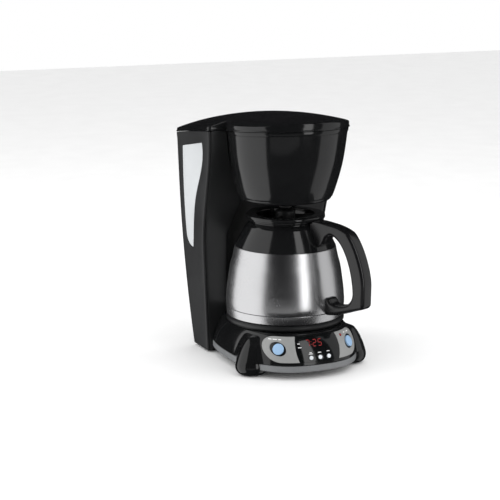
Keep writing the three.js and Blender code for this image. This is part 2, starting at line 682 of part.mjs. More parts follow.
function addBrewHead() {
  const belowLid = belowSeam(-0.15);
  const nozzle = rod(0, 0, NOZZLE_RADIUS, NOZZLE_BOTTOM, BOWL_BOTTOM + 2, 20);
  const shell = bowlBody(0).add(nozzle)
    .subtract(bowlBody(WALL, BOWL_BOTTOM + WALL))
    .subtract(rod(0, 0, NOZZLE_RADIUS - 2, NOZZLE_BOTTOM - 1, BOWL_BOTTOM + 6, 20))
    .intersect(belowLid);
  addPart('brew_head_shell', shell, 'gloss_black');

  const basketTop = box(-FAR, FAR, -FAR, FAR, 0, 298);
  let basket = bowlBody(WALL + 1.2, BASKET_BOTTOM, PLAIN)
    .subtract(bowlBody(WALL + 3.2, BASKET_BOTTOM + 2, PLAIN))
    .intersect(basketTop)
    .subtract(rod(0, 0, 5, 200, 240));
  for (let i = 0; i < 6; i++) {
    const angle = (Math.PI * (i + 0.5)) / 3;
    const rib = box(12, 46, -0.8, 0.8, BASKET_BOTTOM + 1, BASKET_BOTTOM + 4);
    basket = basket.add(rib.rotate([0, 0, (180 * angle) / Math.PI]).translate([0, 3, 0]));
  }
  addPart('brew_basket', basket, 'satin_black');

  const stem = lathe([[0, VALVE_BOTTOM], [5, VALVE_BOTTOM], [8.6, VALVE_BOTTOM + 1.6],
    [8.6, VALVE_BOTTOM + 3.2], [3.4, VALVE_BOTTOM + 3.2], [3.4, BASKET_BOTTOM + 2.3],
    [8, BASKET_BOTTOM + 2.3], [8, BASKET_BOTTOM + 4.2], [0, BASKET_BOTTOM + 6]], SMALL);
  addPart('drip_valve', stem, 'satin_black');
  const turns = 3;
  const [springLow, springHigh] = [VALVE_BOTTOM + 4.1, BASKET_BOTTOM - VALVE_TRAVEL - 1.2];
  const coil = [];
  for (let i = 0; i <= turns * 6; i++) {
    const angle = (Math.PI * i) / 3;
    const rise = springLow + ((springHigh - springLow) * i) / (turns * 6);
    coil.push([5.6 * Math.cos(angle), 5.6 * Math.sin(angle), rise]);
  }
  addPart('valve_spring', solid(tubeGeometry(coil, 0.5, 0, turns * 8, 2)), 'zinc_steel');
}

// ---------------------------------------------------------------- lid

// Height of the lid's top surface
function crownHeight(x, y) {
  const fall = CROWN_ACROSS * x * x + CROWN_ALONG * (y - CROWN_CENTRE_Y) ** 2;
  return seamHeight(y) + CROWN_HEIGHT - fall;
}

// Everything from above the bowl up to the lid's top surface, lowered by `drop`
function dome(drop) {
  const geometry = new THREE.BoxGeometry(200, 246, 2, 14, 14, 1).translate(0, 32, 0);
  return solid(warp(geometry, (point) => {
    point.z = point.z > 0 ? crownHeight(point.x, point.y) - drop : 250;
  }));
}

// The lid seen from above, drawn in by `inset`
function lidPlan(inset) {
  const round = rod(0, BOWL_CENTRE, LID_BOWL_RADIUS - inset, 270, 345, 36);
  const tower = roundedRectangle(-LID_HALF_WIDTH + inset, LID_TOWER_FRONT + inset,
    LID_HALF_WIDTH - inset, LID_REAR - inset, 6);
  return round.add(solid(extrude(tower, 270, 345, 1, 2)));
}

function addLid() {
  let cover = lidPlan(0).intersect(dome(0)).subtract(belowSeam(0.15))
    .subtract(lidPlan(LID_THICKNESS).intersect(dome(LID_THICKNESS)));
  for (const y of [20, 84]) {
    cover = cover.add(box(-7, 7, y, y + 3, CHANNEL_HIGH + GAP, FAR).intersect(dome(1)));
  }
  for (const [, side] of hingeSides) {
    const { low, high, tube } = barrel(side, LID_BARREL);
    const arm = box(low, high, LID_REAR - 1.5, HINGE_Y, HINGE_Z + 0.6, HINGE_Z + HINGE_RADIUS);
    const bore = bar(HINGE_Y, HINGE_Z, PIN_RADIUS + 0.35, low - 1, high + 1, 8);
    cover = cover.add(tube.add(arm).subtract(bore));
  }
  addPart('lid_cover', cover, 'gloss_black');

  const channel = box(-9, 9, SHOWER_Y - 9, RISER_Y + 9, CHANNEL_LOW, CHANNEL_HIGH)
    .subtract(box(-7, 7, SHOWER_Y - 7, RISER_Y + 7, CHANNEL_LOW + 2, CHANNEL_HIGH - 2))
    .subtract(rod(0, RISER_Y, 4, 300, CHANNEL_LOW + 3, 12))
    .add(rod(0, SHOWER_Y, 6, 302, CHANNEL_LOW + 1, 12))
    .subtract(rod(0, SHOWER_Y, 4, 290, CHANNEL_LOW + 3, 10));
  addPart('lid_water_channel', channel, 'satin_black');
  let shower = lathe([[0, 295], [26, 295], [27, 296], [27, 301], [25, 301.7], [7.5, 301.7],
    [7.5, 299.5], [24, 299.5], [24, 297], [0, 297]], 20);
  for (let i = 0; i < 6; i++) {
    const angle = (Math.PI * i) / 3;
    shower = shower.subtract(rod(17 * Math.cos(angle), 17 * Math.sin(angle), 1.6, 290, 298, 6));
  }
  addPart('shower_head', shower.translate([0, SHOWER_Y, 0]), 'satin_black');
}

// ---------------------------------------------------------------- carafe

const bodyProfile = [[79.3, BASE_SEAM + GAP], [79.7, 84], [78.9, 96], [77.6, 107.6], [74.2, 130],
  [70.8, 143], [67.6, COLLAR_SEAM - GAP / 2]];
const collarProfile = [[67.4, COLLAR_SEAM + GAP / 2], [64.5, 164], [58.9, 175], [52.8, 186],
  [46.9, 190], [46.9, 192.5], [49.5, 193], [49.5, NECK_TOP]];
const collarWall = [...collarProfile, [45.4, NECK_TOP], [45.4, 186], [56.2, 173.6],
  [64.4, COLLAR_SEAM + GAP / 2], collarProfile[0]];

// A thin wall that follows a profile from outside to `thickness` further in
function wallOf(profile, thickness) {
  const inner = profile.map(([radius, height]) => [radius - thickness, height]).reverse();
  return [...profile, ...inner, profile[0]];
}

function handleShape() {
  const shape = new THREE.Shape();
  shape.moveTo(50, 197.5);
  shape.bezierCurveTo(80, 199, 100, 195, 112, 189);
  shape.bezierCurveTo(124, 180, 140, 146, 141, 122);
  shape.lineTo(140.5, 97);
  shape.quadraticCurveTo(140, 92, 135, 90.5);
  shape.bezierCurveTo(115, 84, 96, 75, 78, 74.5);
  shape.bezierCurveTo(70, 76, 71, 97, 79, 98);
  shape.bezierCurveTo(86, 99, 84, 90, 92, 90);
  shape.bezierCurveTo(108, 90, 122, 96, 121, 112);
  shape.bezierCurveTo(119, 140, 108, 166, 96, 176);
  shape.bezierCurveTo(88, 183, 82, 183, 78, 179);
  shape.bezierCurveTo(74, 172, 70, 164, 60, 164);
  shape.lineTo(50, 170);
  shape.closePath();
  return shape;
}

// Turns a solid drawn in the front-facing half plane to the handle's side
const toHandle = (shape) => shape.rotate([0, 0, HANDLE_ANGLE]);

function addCarafe() {
  const wall = wallOf(smoothProfile(bodyProfile, 5), 1.2);
  addPart('carafe_shell', lathe(wall), 'brushed_steel', carafe);
  const foot = lathe([[0, CARAFE_BOTTOM], [77, CARAFE_BOTTOM], [78.3, CARAFE_BOTTOM + 1],
    [79.2, BASE_SEAM], [78, BASE_SEAM], [76.8, CARAFE_BOTTOM + 2], [0, CARAFE_BOTTOM + 2]]);
  addPart('carafe_foot', foot, 'brushed_steel', carafe);
  const vessel = [[0, 71], [64, 71], [73, 82], [71.5, 107], [62, 146], [45, 183],
    [45, NECK_TOP - 2], [43.8, NECK_TOP - 2], [43.8, 182.4], [60.6, 145.6], [70.2, 107],
    [71.6, 82.4], [63.4, 72.2], [0, 72.2]];
  addPart('carafe_liner', lathe(vessel, PLAIN), 'brushed_steel', carafe);

  addPart('carafe_collar', lathe(collarWall), 'gloss_black', carafe);

  const strap = extrude(handleShape(), -HANDLE_WIDTH / 2, HANDLE_WIDTH / 2, 1, 6);
  strap.rotateX(Math.PI / 2).rotateZ(-Math.PI / 2);
  const outside = [...bodyProfile, ...collarProfile].map(([radius, z]) => [radius + GAP, z]);
  const clear = lathe([[0, 60], [79.8, 60], ...outside, [RING_RADIUS + 1.2, NECK_TOP],
    [RING_RADIUS + 1.2, 210], [0, 210]]);
  addPart('carafe_handle', toHandle(solid(strap).subtract(clear)), 'gloss_black', carafe);
}

function addCarafeLid() {
  let lid = lathe([[0, 188], [LID_PLUG_RADIUS, 188], [LID_PLUG_RADIUS, NECK_TOP + GAP],
    [RING_RADIUS, NECK_TOP + GAP], [RING_RADIUS, RING_TOP - 1], [RING_RADIUS - 1, RING_TOP],
    [40, RING_TOP], [37.5, RING_TOP - 2], [37.5, 190.5], [0, 190.5]]);
  const lip = rod(0, 0, RING_RADIUS - 2, NECK_TOP + 2, RING_TOP, 24)
    .subtract(box(-FAR, FAR, -FAR, 30, 0, FAR))
    .translate([0, SPOUT_REACH - RING_RADIUS + 2, 0])
    .intersect(box(-18, 18, 0, FAR, 0, FAR))
    .subtract(rod(0, 0, 40, 150, 220, 30));
  lid = lid.add(toHandle(lip));
  for (let i = 0; i < 3; i++) {
    const spoke = box(10, 38.5, -2.6, 2.6, 190, RING_TOP - 1.5);
    lid = lid.add(spoke.rotate([0, 0, 120 * i - 24]));
  }
  lid = lid.subtract(rod(0, 0, 13.3, 189, 220, 20)).subtract(rod(0, 0, 5, 180, 192, 12));
  const groove = ring(LID_PLUG_RADIUS - 1.2, 60, 190 - GAP, 192 + GAP, PLAIN);
  addPart('carafe_lid', lid.subtract(groove), 'gloss_black', carafe);
  addPart('carafe_lid_gasket', ring(LID_PLUG_RADIUS - 0.9, 43, 190, 192, PLAIN), 'silicone', carafe);
  const hub = lathe([[4, 190.8 + GAP], [13, 190.8 + GAP], [13, HUB_TOP - 2], [11.5, HUB_TOP],
    [7, HUB_TOP], [4, HUB_TOP - 3], [4, 190.8 + GAP]], 20);
  addPart('brew_through_hub', hub, 'satin_black', carafe);
}

// ---------------------------------------------------------------- assembly

addControls(addBase());
addTower();
addReservoir();
addWaterPath();
addBrewHead();
addLid();
addCarafe();
addCarafeLid();

// Put the origin at the middle of the footprint, on the floor
const group = new THREE.Group();
group.add(machine);
group.updateMatrixWorld(true);
const extent = new THREE.Box3().setFromObject(machine);
const middle = extent.getCenter(new THREE.Vector3());
machine.position.set(-middle.x, -middle.y, -extent.min.z);

export default group;
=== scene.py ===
# Drip coffee maker: the look of the assembly that the CAD and the motion share.
# Lengths are in millimetres around the carafe's own axis until place() turns them into the row frame.
from math import asin, atan2, ceil, cos, hypot, pi, radians, sin, sqrt, tan

import bmesh
import bpy
import numpy as np
from mathutils import Matrix, Vector
from mathutils.geometry import delaunay_2d_cdt


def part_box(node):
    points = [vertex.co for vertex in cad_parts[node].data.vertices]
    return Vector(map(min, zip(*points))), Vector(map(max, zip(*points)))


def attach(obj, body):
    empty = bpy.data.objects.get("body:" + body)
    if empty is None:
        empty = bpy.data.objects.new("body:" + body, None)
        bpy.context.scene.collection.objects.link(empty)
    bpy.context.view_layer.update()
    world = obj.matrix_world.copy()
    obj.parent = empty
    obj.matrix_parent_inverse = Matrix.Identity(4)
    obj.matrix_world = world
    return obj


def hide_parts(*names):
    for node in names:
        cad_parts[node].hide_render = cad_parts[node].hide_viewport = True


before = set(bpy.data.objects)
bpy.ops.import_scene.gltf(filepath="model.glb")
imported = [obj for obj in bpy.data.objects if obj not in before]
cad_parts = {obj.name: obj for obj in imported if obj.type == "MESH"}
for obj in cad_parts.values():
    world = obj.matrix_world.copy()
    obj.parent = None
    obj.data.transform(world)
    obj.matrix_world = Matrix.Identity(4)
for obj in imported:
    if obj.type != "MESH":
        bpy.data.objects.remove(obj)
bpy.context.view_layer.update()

low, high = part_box("carafe_shell")
AXIS_Y = 500 * (low.y + high.y)

GAP = 0.3
ROW_STEP = 0.866  # of a triangular grid's spacing
LEAST_TURN = 0.3  # radians; a flatter corner is left as it is

# ---- sizes

BASE_HALF_WIDTH, BASE_FRONT, BASE_REAR, BASE_POWER = 85.5, 107, 125, 2.5
BASE_TOP, BASE_BACK_EDGE = 56, 66.9
SHOULDER_START, SHOULDER_HEIGHT, SHOULDER_PULL = 18.4, 41.6, 0.23
BAND_BOTTOM, BAND_THICKNESS = 10, 4
LEG_X, LEG_Y = 73, -51
LEG_PROFILE = [(16, 1.2), (20, 5), (21.5, 12), (19, 22), (15.5, 31), (11, 40), (5, 48), (0, 51)]
LEG_BLEND = 14
PAD_PLACES = {
    "front_left": (-LEG_X, LEG_Y, 0.9),
    "front_right": (LEG_X, LEG_Y, 0.9),
    "rear_left": (-62, 88, 1.7),
    "rear_right": (62, 88, 1.7),
}

PANEL_HALF_LENGTH, PANEL_Z, PANEL_HALF_HEIGHT = 66, 38.5, 15.5
PANEL_PROUD = 1.0
DISPLAY_EDGE, DISPLAY_BOW = 28, 3
BIG_BUTTON_X = 51
BIG_BUTTONS = {"button_brew_later": -BIG_BUTTON_X, "button_on_off": BIG_BUTTON_X}
BIG_BUTTON_Z, BIG_BUTTON_RADIUS = 39.5, 7.4
SMALL_BUTTONS = {"button_program": -12.6, "button_hour": 0, "button_minute": 12.6}
SMALL_BUTTON_Z, SMALL_BUTTON_RADIUS = 28.3, 2.7
LIGHT_X, LIGHT_Z, LIGHT_RADIUS = 38, 49.5, 1.3

PANEL_SKIN, WALL = 2.7, 2.8
TOWER_BOTTOM = 2
BOWL_BOTTOM, BOWL_TOP = 221, 316
CAVITY = [(50, 88), (150, 88), (172, 84), (205, 71), (222, 62)]
BOWL_CURVE = [(61.5, 221), (67.5, 240), (74.8, 273), (79.5, 316), (80.2, 330)]

CROWN_HEIGHT, CROWN_CENTRE_Y, CROWN_ACROSS, CROWN_ALONG = 22, 80, 0.00158, 0.000412
LID_RADIUS, LID_CENTRE_Y = 81, -5
LID_HALF_WIDTH, LID_TOWER_FRONT, LID_REAR = 98, 31.3, 144.8
LID_THICKNESS = 2.6
HINGE_Y, HINGE_Z, HINGE_RADIUS = 149.4, 297.2, 4

CARAFE_BOTTOM, BASE_SEAM, COLLAR_SEAM, NECK_TOP, RING_TOP = 64.4, 76.6, 158, 195.4, 200.8
RING_RADIUS = 52.9
HANDLE_ANGLE, HANDLE_WIDTH = radians(23.5), 21


# ---- drawing helpers


def place(point):
    x, y, z = point
    return Vector((x, y + AXIS_Y, z)) / 1000


def clamp(value, low=0.0, high=1.0):
    return max(low, min(high, value))


def smooth(value):
    value = clamp(value)
    return value * value * (3 - 2 * value)


def bezier(p0, p1, p2, p3, count=16):
    """Points along a cubic Bezier curve, without its first point."""
    found = []
    for i in range(1, count + 1):
        t = i / count
        a, b, c, d = (1 - t) ** 3, 3 * t * (1 - t) ** 2, 3 * t * t * (1 - t), t**3
        found.append(tuple(a * p0[k] + b * p1[k] + c * p2[k] + d * p3[k] for k in (0, 1)))
    return found


def quadratic(p0, p1, p2, count=12):
    q1 = tuple(p0[k] + 2 / 3 * (p1[k] - p0[k]) for k in (0, 1))
    q2 = tuple(p2[k] + 2 / 3 * (p1[k] - p2[k]) for k in (0, 1))
    return bezier(p0, q1, q2, p2, count)


def spline(points, count):
    """A uniform Catmull-Rom curve through the points, with count steps in all."""
    found = []
    for i in range(count + 1):
        along = (len(points) - 1) * i / count
        k = min(int(along), len(points) - 2)
        t = along - k
        p0, p1 = points[max(k - 1, 0)], points[k]
        p2, p3 = points[k + 1], points[min(k + 2, len(points) - 1)]
        value = []
        for a, b, c, d in zip(p0, p1, p2, p3):
            v0, v1 = (c - a) / 2, (d - b) / 2
            value.append(
                (2 * b - 2 * c + v0 + v1) * t**3 + (-3 * b + 3 * c - 2 * v0 - v1) * t * t + v0 * t + b
            )
        found.append(tuple(value))
    return found


def rectangle(x0, x1, y0, y1):
    return [(x0, y0), (x1, y0), (x1, y1), (x0, y1)]


def fillet_corner(corner, before, after, reach, steps=5):
    """One corner rounded, over at most this length of each of its sides."""
    u = (before[0] - corner[0], before[1] - corner[1])
    v = (after[0] - corner[0], after[1] - corner[1])
    lu, lv = hypot(*u), hypot(*v)
    u, v = (u[0] / lu, u[1] / lu), (v[0] / lv, v[1] / lv)
    reach = min(reach, 0.45 * lu, 0.45 * lv)
    start = (corner[0] + u[0] * reach, corner[1] + u[1] * reach)
    end = (corner[0] + v[0] * reach, corner[1] + v[1] * reach)
    return [start] + quadratic(start, corner, end, steps)


def fillet(points, radius, steps=5, closed=True):
    """Rounds the corners of a polygon that turn by more than LEAST_TURN."""
    count = len(points)
    found = []
    for i, p in enumerate(points):
        if not closed and i in (0, count - 1):
            found.append(tuple(p))
            continue
        a, b = points[i - 1], points[(i + 1) % count]
        u = (a[0] - p[0], a[1] - p[1])
        v = (b[0] - p[0], b[1] - p[1])
        lu, lv = hypot(*u), hypot(*v)
        if lu < 1e-6 or lv < 1e-6:
            continue
        u, v = (u[0] / lu, u[1] / lu), (v[0] / lv, v[1] / lv)
        turn = pi - abs(atan2(u[0] * v[1] - u[1] * v[0], u[0] * v[0] + u[1] * v[1]))
        if turn < LEAST_TURN:
            found.append(tuple(p))
        else:
            found += fillet_corner(p, a, b, radius * tan(turn / 2), steps)
    return found


def resample(points, spacing):
    """Adds points along a loop's long edges."""
    found = []
    for a, b in zip(points, points[1:] + points[:1]):
        steps = max(1, ceil(hypot(b[0] - a[0], b[1] - a[1]) / spacing))
        for k in range(steps):
            found.append(tuple(a[j] + (b[j] - a[j]) * k / steps for j in (0, 1)))
    return found


def make(name, points, faces, material, sharp=38):
    """A mesh from points in millimetres, with its corners sharper than `sharp` degrees kept."""
    mesh = bpy.data.meshes.new(name)
    mesh.from_pydata([place(p) for p in points], [], faces)
    work = bmesh.new()
    work.from_mesh(mesh)
    bmesh.ops.remove_doubles(work, verts=work.verts, dist=2e-6)
    bmesh.ops.dissolve_degenerate(work, edges=work.edges, dist=1e-7)
    bmesh.ops.recalc_face_normals(work, faces=work.faces)
    work.to_mesh(mesh)
    work.free()
    mesh.shade_smooth()
    mesh.set_sharp_from_angle(angle=radians(sharp))
    mesh.materials.append(material)
    obj = bpy.data.objects.new(name, mesh)
    bpy.context.scene.collection.objects.link(obj)
    return obj


def rings_to_mesh(rings, cap_first=False, cap_last=False, closed=False):
    """Points and faces of rings joined in order; each ring has the same number of points."""
    count = len(rings[0])
    points = [p for ring in rings for p in ring]
    faces = []
    for r in range(len(rings) - (0 if closed else 1)):
        a, b = r * count, ((r + 1) % len(rings)) * count
        for i in range(count):
            j = (i + 1) % count
            faces.append((a + i, a + j, b + j, b + i))
    if cap_first:
        faces.append(tuple(range(count)))
    if cap_last:
        faces.append(tuple(range((len(rings) - 1) * count, len(rings) * count)))
    return points, faces


def loft(name, rings, material, sharp=38, **caps):
    return make(name, *rings_to_mesh(rings, **caps), material, sharp)


def turns(count):
    return [2 * pi * i / count for i in range(count)]


def ring_loop(x, y, radius, count=64):
    return [(x + radius * cos(turn), y + radius * sin(turn)) for turn in turns(count)]


def circle(radius, z, count, centre=(0, 0)):
    return [(x, y, z) for x, y in ring_loop(*centre, radius, count)]


def lathe(name, profile, material, count, centre=(0, 0), closed=True, sharp=38):
    """A turned piece: profile is (radius, height) pairs, a loop unless closed is False."""
    rings = [circle(max(r, 0.0), z, count, centre) for r, z in profile]
    return loft(name, rings, material, sharp, closed=closed)


def turned(name, profile, radius, steps, material, count, centre=(0, 0)):
    """A turned solid whose profile starts and ends on its axis, with rounded corners."""
    return lathe(name, fillet(profile, radius, steps, closed=False), material, count, centre, closed=False)


def inside(points, loop):
    """Which points lie inside a closed loop."""
    x, y = points[:, 0], points[:, 1]
    found = np.zeros(len(points), bool)
    a = np.array(loop)
    b = np.roll(a, -1, axis=0)
    for (x0, y0), (x1, y1) in zip(a, b):
        if y0 == y1:
            continue
        crosses = ((y0 > y) != (y1 > y)) & (x < (x1 - x0) * (y - y0) / (y1 - y0) + x0)
        found ^= crosses
    return found


def area(loop):
    return 0.5 * sum(a[0] * b[1] - b[0] * a[1] for a, b in zip(loop, loop[1:] + loop[:1]))


def plate_mesh(outline, holes, spacing, mapper, thickness, rounding, back_rounding=0.0, steps=5):
    """A panel drawn flat as (u, v) loops, with rounded edges; mapper(u, v, depth) puts it in space."""
    round_at = rounding if callable(rounding) else (lambda u, v: rounding)
    loops = [outline if area(outline) > 0 else outline[::-1]]
    loops += [h if area(h) < 0 else h[::-1] for h in holes]
    inset_loops, normals, radii = [], [], []
    for loop in loops:
        count = len(loop)
        loop_normals = []
        for i in range(count):
            a, b = loop[i - 1], loop[(i + 1) % count]
            t = (b[0] - a[0], b[1] - a[1])
            length = hypot(*t) or 1
            loop_normals.append((-t[1] / length, t[0] / length))
        loop_radii = [round_at(*p) for p in loop]
        normals.append(loop_normals)
        radii.append(loop_radii)
        inset_loops.append(
            [(p[0] + n[0] * r, p[1] + n[1] * r) for p, n, r in zip(loop, loop_normals, loop_radii)]
        )
    edges, flat = [], []
    for loop in inset_loops:
        start = len(flat)
        flat += loop
        edges += [(start + i, start + (i + 1) % len(loop)) for i in range(len(loop))]
    border = np.array(flat)
    lo, hi = border.min(axis=0), border.max(axis=0)
    row_step = ROW_STEP * spacing
    grid = np.array([
        (lo[0] + spacing * (i + 0.5 * (j % 2)), lo[1] + row_step * j)
        for i in range(int((hi[0] - lo[0]) / spacing) + 2)
        for j in range(int((hi[1] - lo[1]) / row_step) + 2)
    ])
    keep = inside(grid, inset_loops[0])
    for hole in inset_loops[1:]:
        keep &= ~inside(grid, hole)
    grid = grid[keep]
    if len(grid):
        nearest = np.full(len(grid), 1e9)
        for start in range(0, len(border), 200):
            part = border[start : start + 200]
            apart = np.hypot(*(grid[:, None, k] - part[None, :, k] for k in (0, 1)))
            nearest = np.minimum(nearest, apart.min(axis=1))
        grid = grid[nearest > 0.55 * spacing]
    vectors = [Vector(p) for p in flat] + [Vector((float(x), float(y))) for x, y in grid]
    verts, _, tris, origin, _, _ = delaunay_2d_cdt(vectors, edges, [], 1, 1e-5)
    centres = np.array([[sum(verts[i][k] for i in t) / 3 for k in (0, 1)] for t in tris])
    keep = inside(centres, inset_loops[0])
    for hole in inset_loops[1:]:
        keep &= ~inside(centres, hole)
    tris = [t for t, k in zip(tris, keep) if k]
    at = {}
    for i, sources in enumerate(origin):
        for s in sources:
            at[s] = i
    points = [mapper(v[0], v[1], 0.0) for v in verts]
    faces = [tuple(t) for t in tris]
    back = len(points)
    points += [mapper(v[0], v[1], thickness) for v in verts]
    faces += [tuple(back + i for i in reversed(t)) for t in tris]
    start = 0
    for loop, loop_normals, loop_radii in zip(loops, normals, radii):
        count = len(loop)
        rows = [[at[start + i] for i in range(count)]]
        stages = [(k * pi / 2 / steps, False) for k in range(1, steps + 1)]
        if back_rounding:
            stages += [((steps - k) * pi / 2 / steps, True) for k in range(steps)]
        else:
            stages.append((pi / 2, True))
        for angle, behind in stages:
            row = []
            for p, n, r in zip(loop, loop_normals, loop_radii):
                draw, sink = r * (1 - sin(angle)), r * (1 - cos(angle))
                if behind:
                    depth = thickness - (sink if back_rounding else 0)
                else:
                    depth = sink
                row.append(len(points))
                points.append(mapper(p[0] + n[0] * draw, p[1] + n[1] * draw, depth))
            rows.append(row)
        rows.append([back + at[start + i] for i in range(count)])
        for r0, r1 in zip(rows, rows[1:]):
            for i in range(count):
                j = (i + 1) % count
                faces.append((r0[i], r1[i], r1[j], r0[j]))
        start += count
    return points, faces


def plate(name, outline, holes, spacing, mapper, thickness, rounding, material, sharp=38, **more):
    return make(
        name, *plate_mesh(outline, holes, spacing, mapper, thickness, rounding, **more), material, sharp
    )


def join(name, parts):
    """One object from several, which are meshes with nothing else on them."""
    work = bmesh.new()
    for part in parts:
        work.from_mesh(part.data)
    mesh = parts[0].data
    work.to_mesh(mesh)
    work.free()
    for part in parts[1:]:
        bpy.data.objects.remove(part)
    parts[0].name = name
    return parts[0]


def belongs(obj, nodes, body="housing"):
    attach(obj, body)
    if nodes:
        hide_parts(*nodes)
    return obj


# ---- materials


def new_material(name):
    material = bpy.data.materials.new(name)
    material.use_nodes = True
    tree = material.node_tree
    shader = tree.nodes["Principled BSDF"]
    coordinates = tree.nodes.new("ShaderNodeTexCoord")
    return material, tree, shader, coordinates.outputs["Object"]


def noise(tree, source, scale, detail=3.0, rough=0.5, stretch=None):
    if stretch:
        mapping = tree.nodes.new("ShaderNodeMapping")
        mapping.inputs["Scale"].default_value = stretch
        tree.links.new(source, mapping.inputs["Vector"])
        source = mapping.outputs["Vector"]
    texture = tree.nodes.new("ShaderNodeTexNoise")
    texture.inputs["Scale"].default_value = scale
    texture.inputs["Detail"].default_value = detail
    texture.inputs["Roughness"].default_value = rough
    tree.links.new(source, texture.inputs["Vector"])
    return texture.outputs["Fac"]


def spread(tree, source, low, high, start=0.3, end=0.7):
    """Maps a texture's middle range onto low..high."""
    node = tree.nodes.new("ShaderNodeMapRange")
    node.inputs["From Min"].default_value = start
    node.inputs["From Max"].default_value = end
    node.inputs["To Min"].default_value = low
    node.inputs["To Max"].default_value = high
    tree.links.new(source, node.inputs["Value"])
    return node.outputs["Result"]


def mixed(tree, factor, a, b):
    node = tree.nodes.new("ShaderNodeMix")
    node.data_type = "RGBA"
    node.inputs[6].default_value = (*a, 1)
    node.inputs[7].default_value = (*b, 1)
    tree.links.new(factor, node.inputs[0])
    return node.outputs[2]


def bump(tree, shader, heights):
    """Bump from several textures: (output, strength, distance in metres)."""
    normal = None
    for output, strength, distance in heights:
        node = tree.nodes.new("ShaderNodeBump")
        node.inputs["Strength"].default_value = strength
        node.inputs["Distance"].default_value = distance
        tree.links.new(output, node.inputs["Height"])
        if normal:
            tree.links.new(normal, node.inputs["Normal"])
        normal = node.outputs["Normal"]
    tree.links.new(normal, shader.inputs["Normal"])


def plastic(name, colour, roughness, grain=600, grain_strength=0.15, grain_height=2e-5, wander=0.25,
            mottle=0.15, specular=0.5, coat=0.0):
    """Moulded plastic: slow flow marks, uneven gloss, fine grain and specks of dust."""
    material, tree, shader, source = new_material(name)
    flow = noise(tree, source, 14, 4, 0.55)
    fine = noise(tree, source, grain, 2, 0.6)
    dust = noise(tree, source, 900, 1, 0.5)
    lighter = tuple(min(1, c * (1 + mottle) + 0.002) for c in colour)
    darker = tuple(c * (1 - mottle) for c in colour)
    tree.links.new(mixed(tree, spread(tree, flow, 0, 1), darker, lighter), shader.inputs["Base Color"])
    patchy = spread(tree, flow, roughness * (1 - wander), roughness * (1 + wander))
    specks = spread(tree, dust, 0, 0.22, 0.66, 0.8)
    total = tree.nodes.new("ShaderNodeMath")
    tree.links.new(patchy, total.inputs[0])
    tree.links.new(specks, total.inputs[1])
    tree.links.new(total.outputs[0], shader.inputs["Roughness"])
    shader.inputs["Specular IOR Level"].default_value = specular
    shader.inputs["Coat Weight"].default_value = coat
    shader.inputs["Coat Roughness"].default_value = 0.06
    bump(tree, shader, [(fine, grain_strength, grain_height), (flow, 0.05, 2e-4)])
    return material


def metal(name, colour, roughness, stretch, grain=900, anisotropy=0.0, strength=0.06):
    """Worked metal: fine lines along one direction and slow changes of gloss."""
    material, tree, shader, source = new_material(name)
    lines = noise(tree, source, grain, 3, 0.65, stretch)
    cloud = noise(tree, source, 22, 3, 0.5)
    low_colour = tuple(c * 0.95 for c in colour)
    tree.links.new(mixed(tree, spread(tree, lines, 0, 1), low_colour, colour), shader.inputs["Base Color"])
    varied = spread(tree, lines, roughness * 0.9, roughness * 1.12)
    total = tree.nodes.new("ShaderNodeMath")
    tree.links.new(varied, total.inputs[0])
    tree.links.new(spread(tree, cloud, -0.03, 0.03), total.inputs[1])
    tree.links.new(total.outputs[0], shader.inputs["Roughness"])
    shader.inputs["Metallic"].default_value = 1
    if anisotropy:
        tangent = tree.nodes.new("ShaderNodeTangent")
        tangent.direction_type = "RADIAL"
        tangent.axis = "Z"
        shader.inputs["Anisotropic"].default_value = anisotropy
        tree.links.new(tangent.outputs["Tangent"], shader.inputs["Tangent"])
    bump(tree, shader, [(lines, strength, 1e-5)])
    return material


def glowing(name, colour, strength):
    material, tree, shader, source = new_material(name)
    cells = noise(tree, source, 1800, 2)
    tree.links.new(
        mixed(tree, spread(tree, cells, 0, 1), tuple(0.75 * c for c in colour), colour),
        shader.inputs["Emission Color"],
    )
    shader.inputs["Emission Strength"].default_value = strength
    shader.inputs["Base Color"].default_value = (0.02, 0.001, 0.001, 1)
    tree.links.new(spread(tree, cells, 0.2, 0.35), shader.inputs["Roughness"])
    return material


GLOSS_BLACK = plastic("gloss_black", (0.0045, 0.0047, 0.005), 0.11, 260, 0.03, 2e-5, 0.3)
HANDLE_BLACK = plastic("handle_black", (0.0045, 0.0045, 0.005), 0.2, 420, 0.06, 2e-5, 0.25)
SATIN_BLACK = plastic("satin_black", (0.009, 0.0095, 0.01), 0.38, 900, 0.2, 3e-5, 0.2)
TEXTURED_GREY = plastic("textured_grey", (0.012, 0.0125, 0.0135), 0.5, 1100, 0.55, 8e-5, 0.15)
SILVER = plastic("silver_paint", (0.23, 0.233, 0.23), 0.42, 1600, 0.18, 2e-5, 0.15, 0.06)
TRIM_GREY = plastic("trim_grey", (0.15, 0.155, 0.16), 0.4, 1400, 0.15, 2e-5, 0.15, 0.06)
WINDOW = plastic("window_frosted", (0.5, 0.515, 0.525), 0.4, 420, 0.6, 9e-5, 0.15, 0.06, 0.3)
MARKS = plastic("printed_marks", (0.8, 0.8, 0.8), 0.5, 1500, 0.1, 1e-5)
DISPLAY = plastic("display_smoked", (0.0025, 0.003, 0.0032), 0.09, 200, 0.02, 1e-5)
BLUE = plastic("button_blue", (0.25, 0.39, 0.57), 0.28, 700, 0.12, 2e-5, 0.2, 0.1)
WHITE = plastic("moulded_white", (0.62, 0.65, 0.68), 0.38, 700, 0.12, 2e-5)
RED = plastic("lamp_red", (0.3, 0.01, 0.01), 0.25, 700, 0.05, 1e-5)
TANK = plastic("tank_natural", (0.5, 0.54, 0.56), 0.4, 500, 0.2, 4e-5)
RUBBER = plastic("foot_rubber", (0.012, 0.012, 0.012), 0.75, 1200, 0.5, 5e-5)
SILICONE = plastic("silicone", (0.5, 0.46, 0.4), 0.55, 800, 0.15, 2e-5)
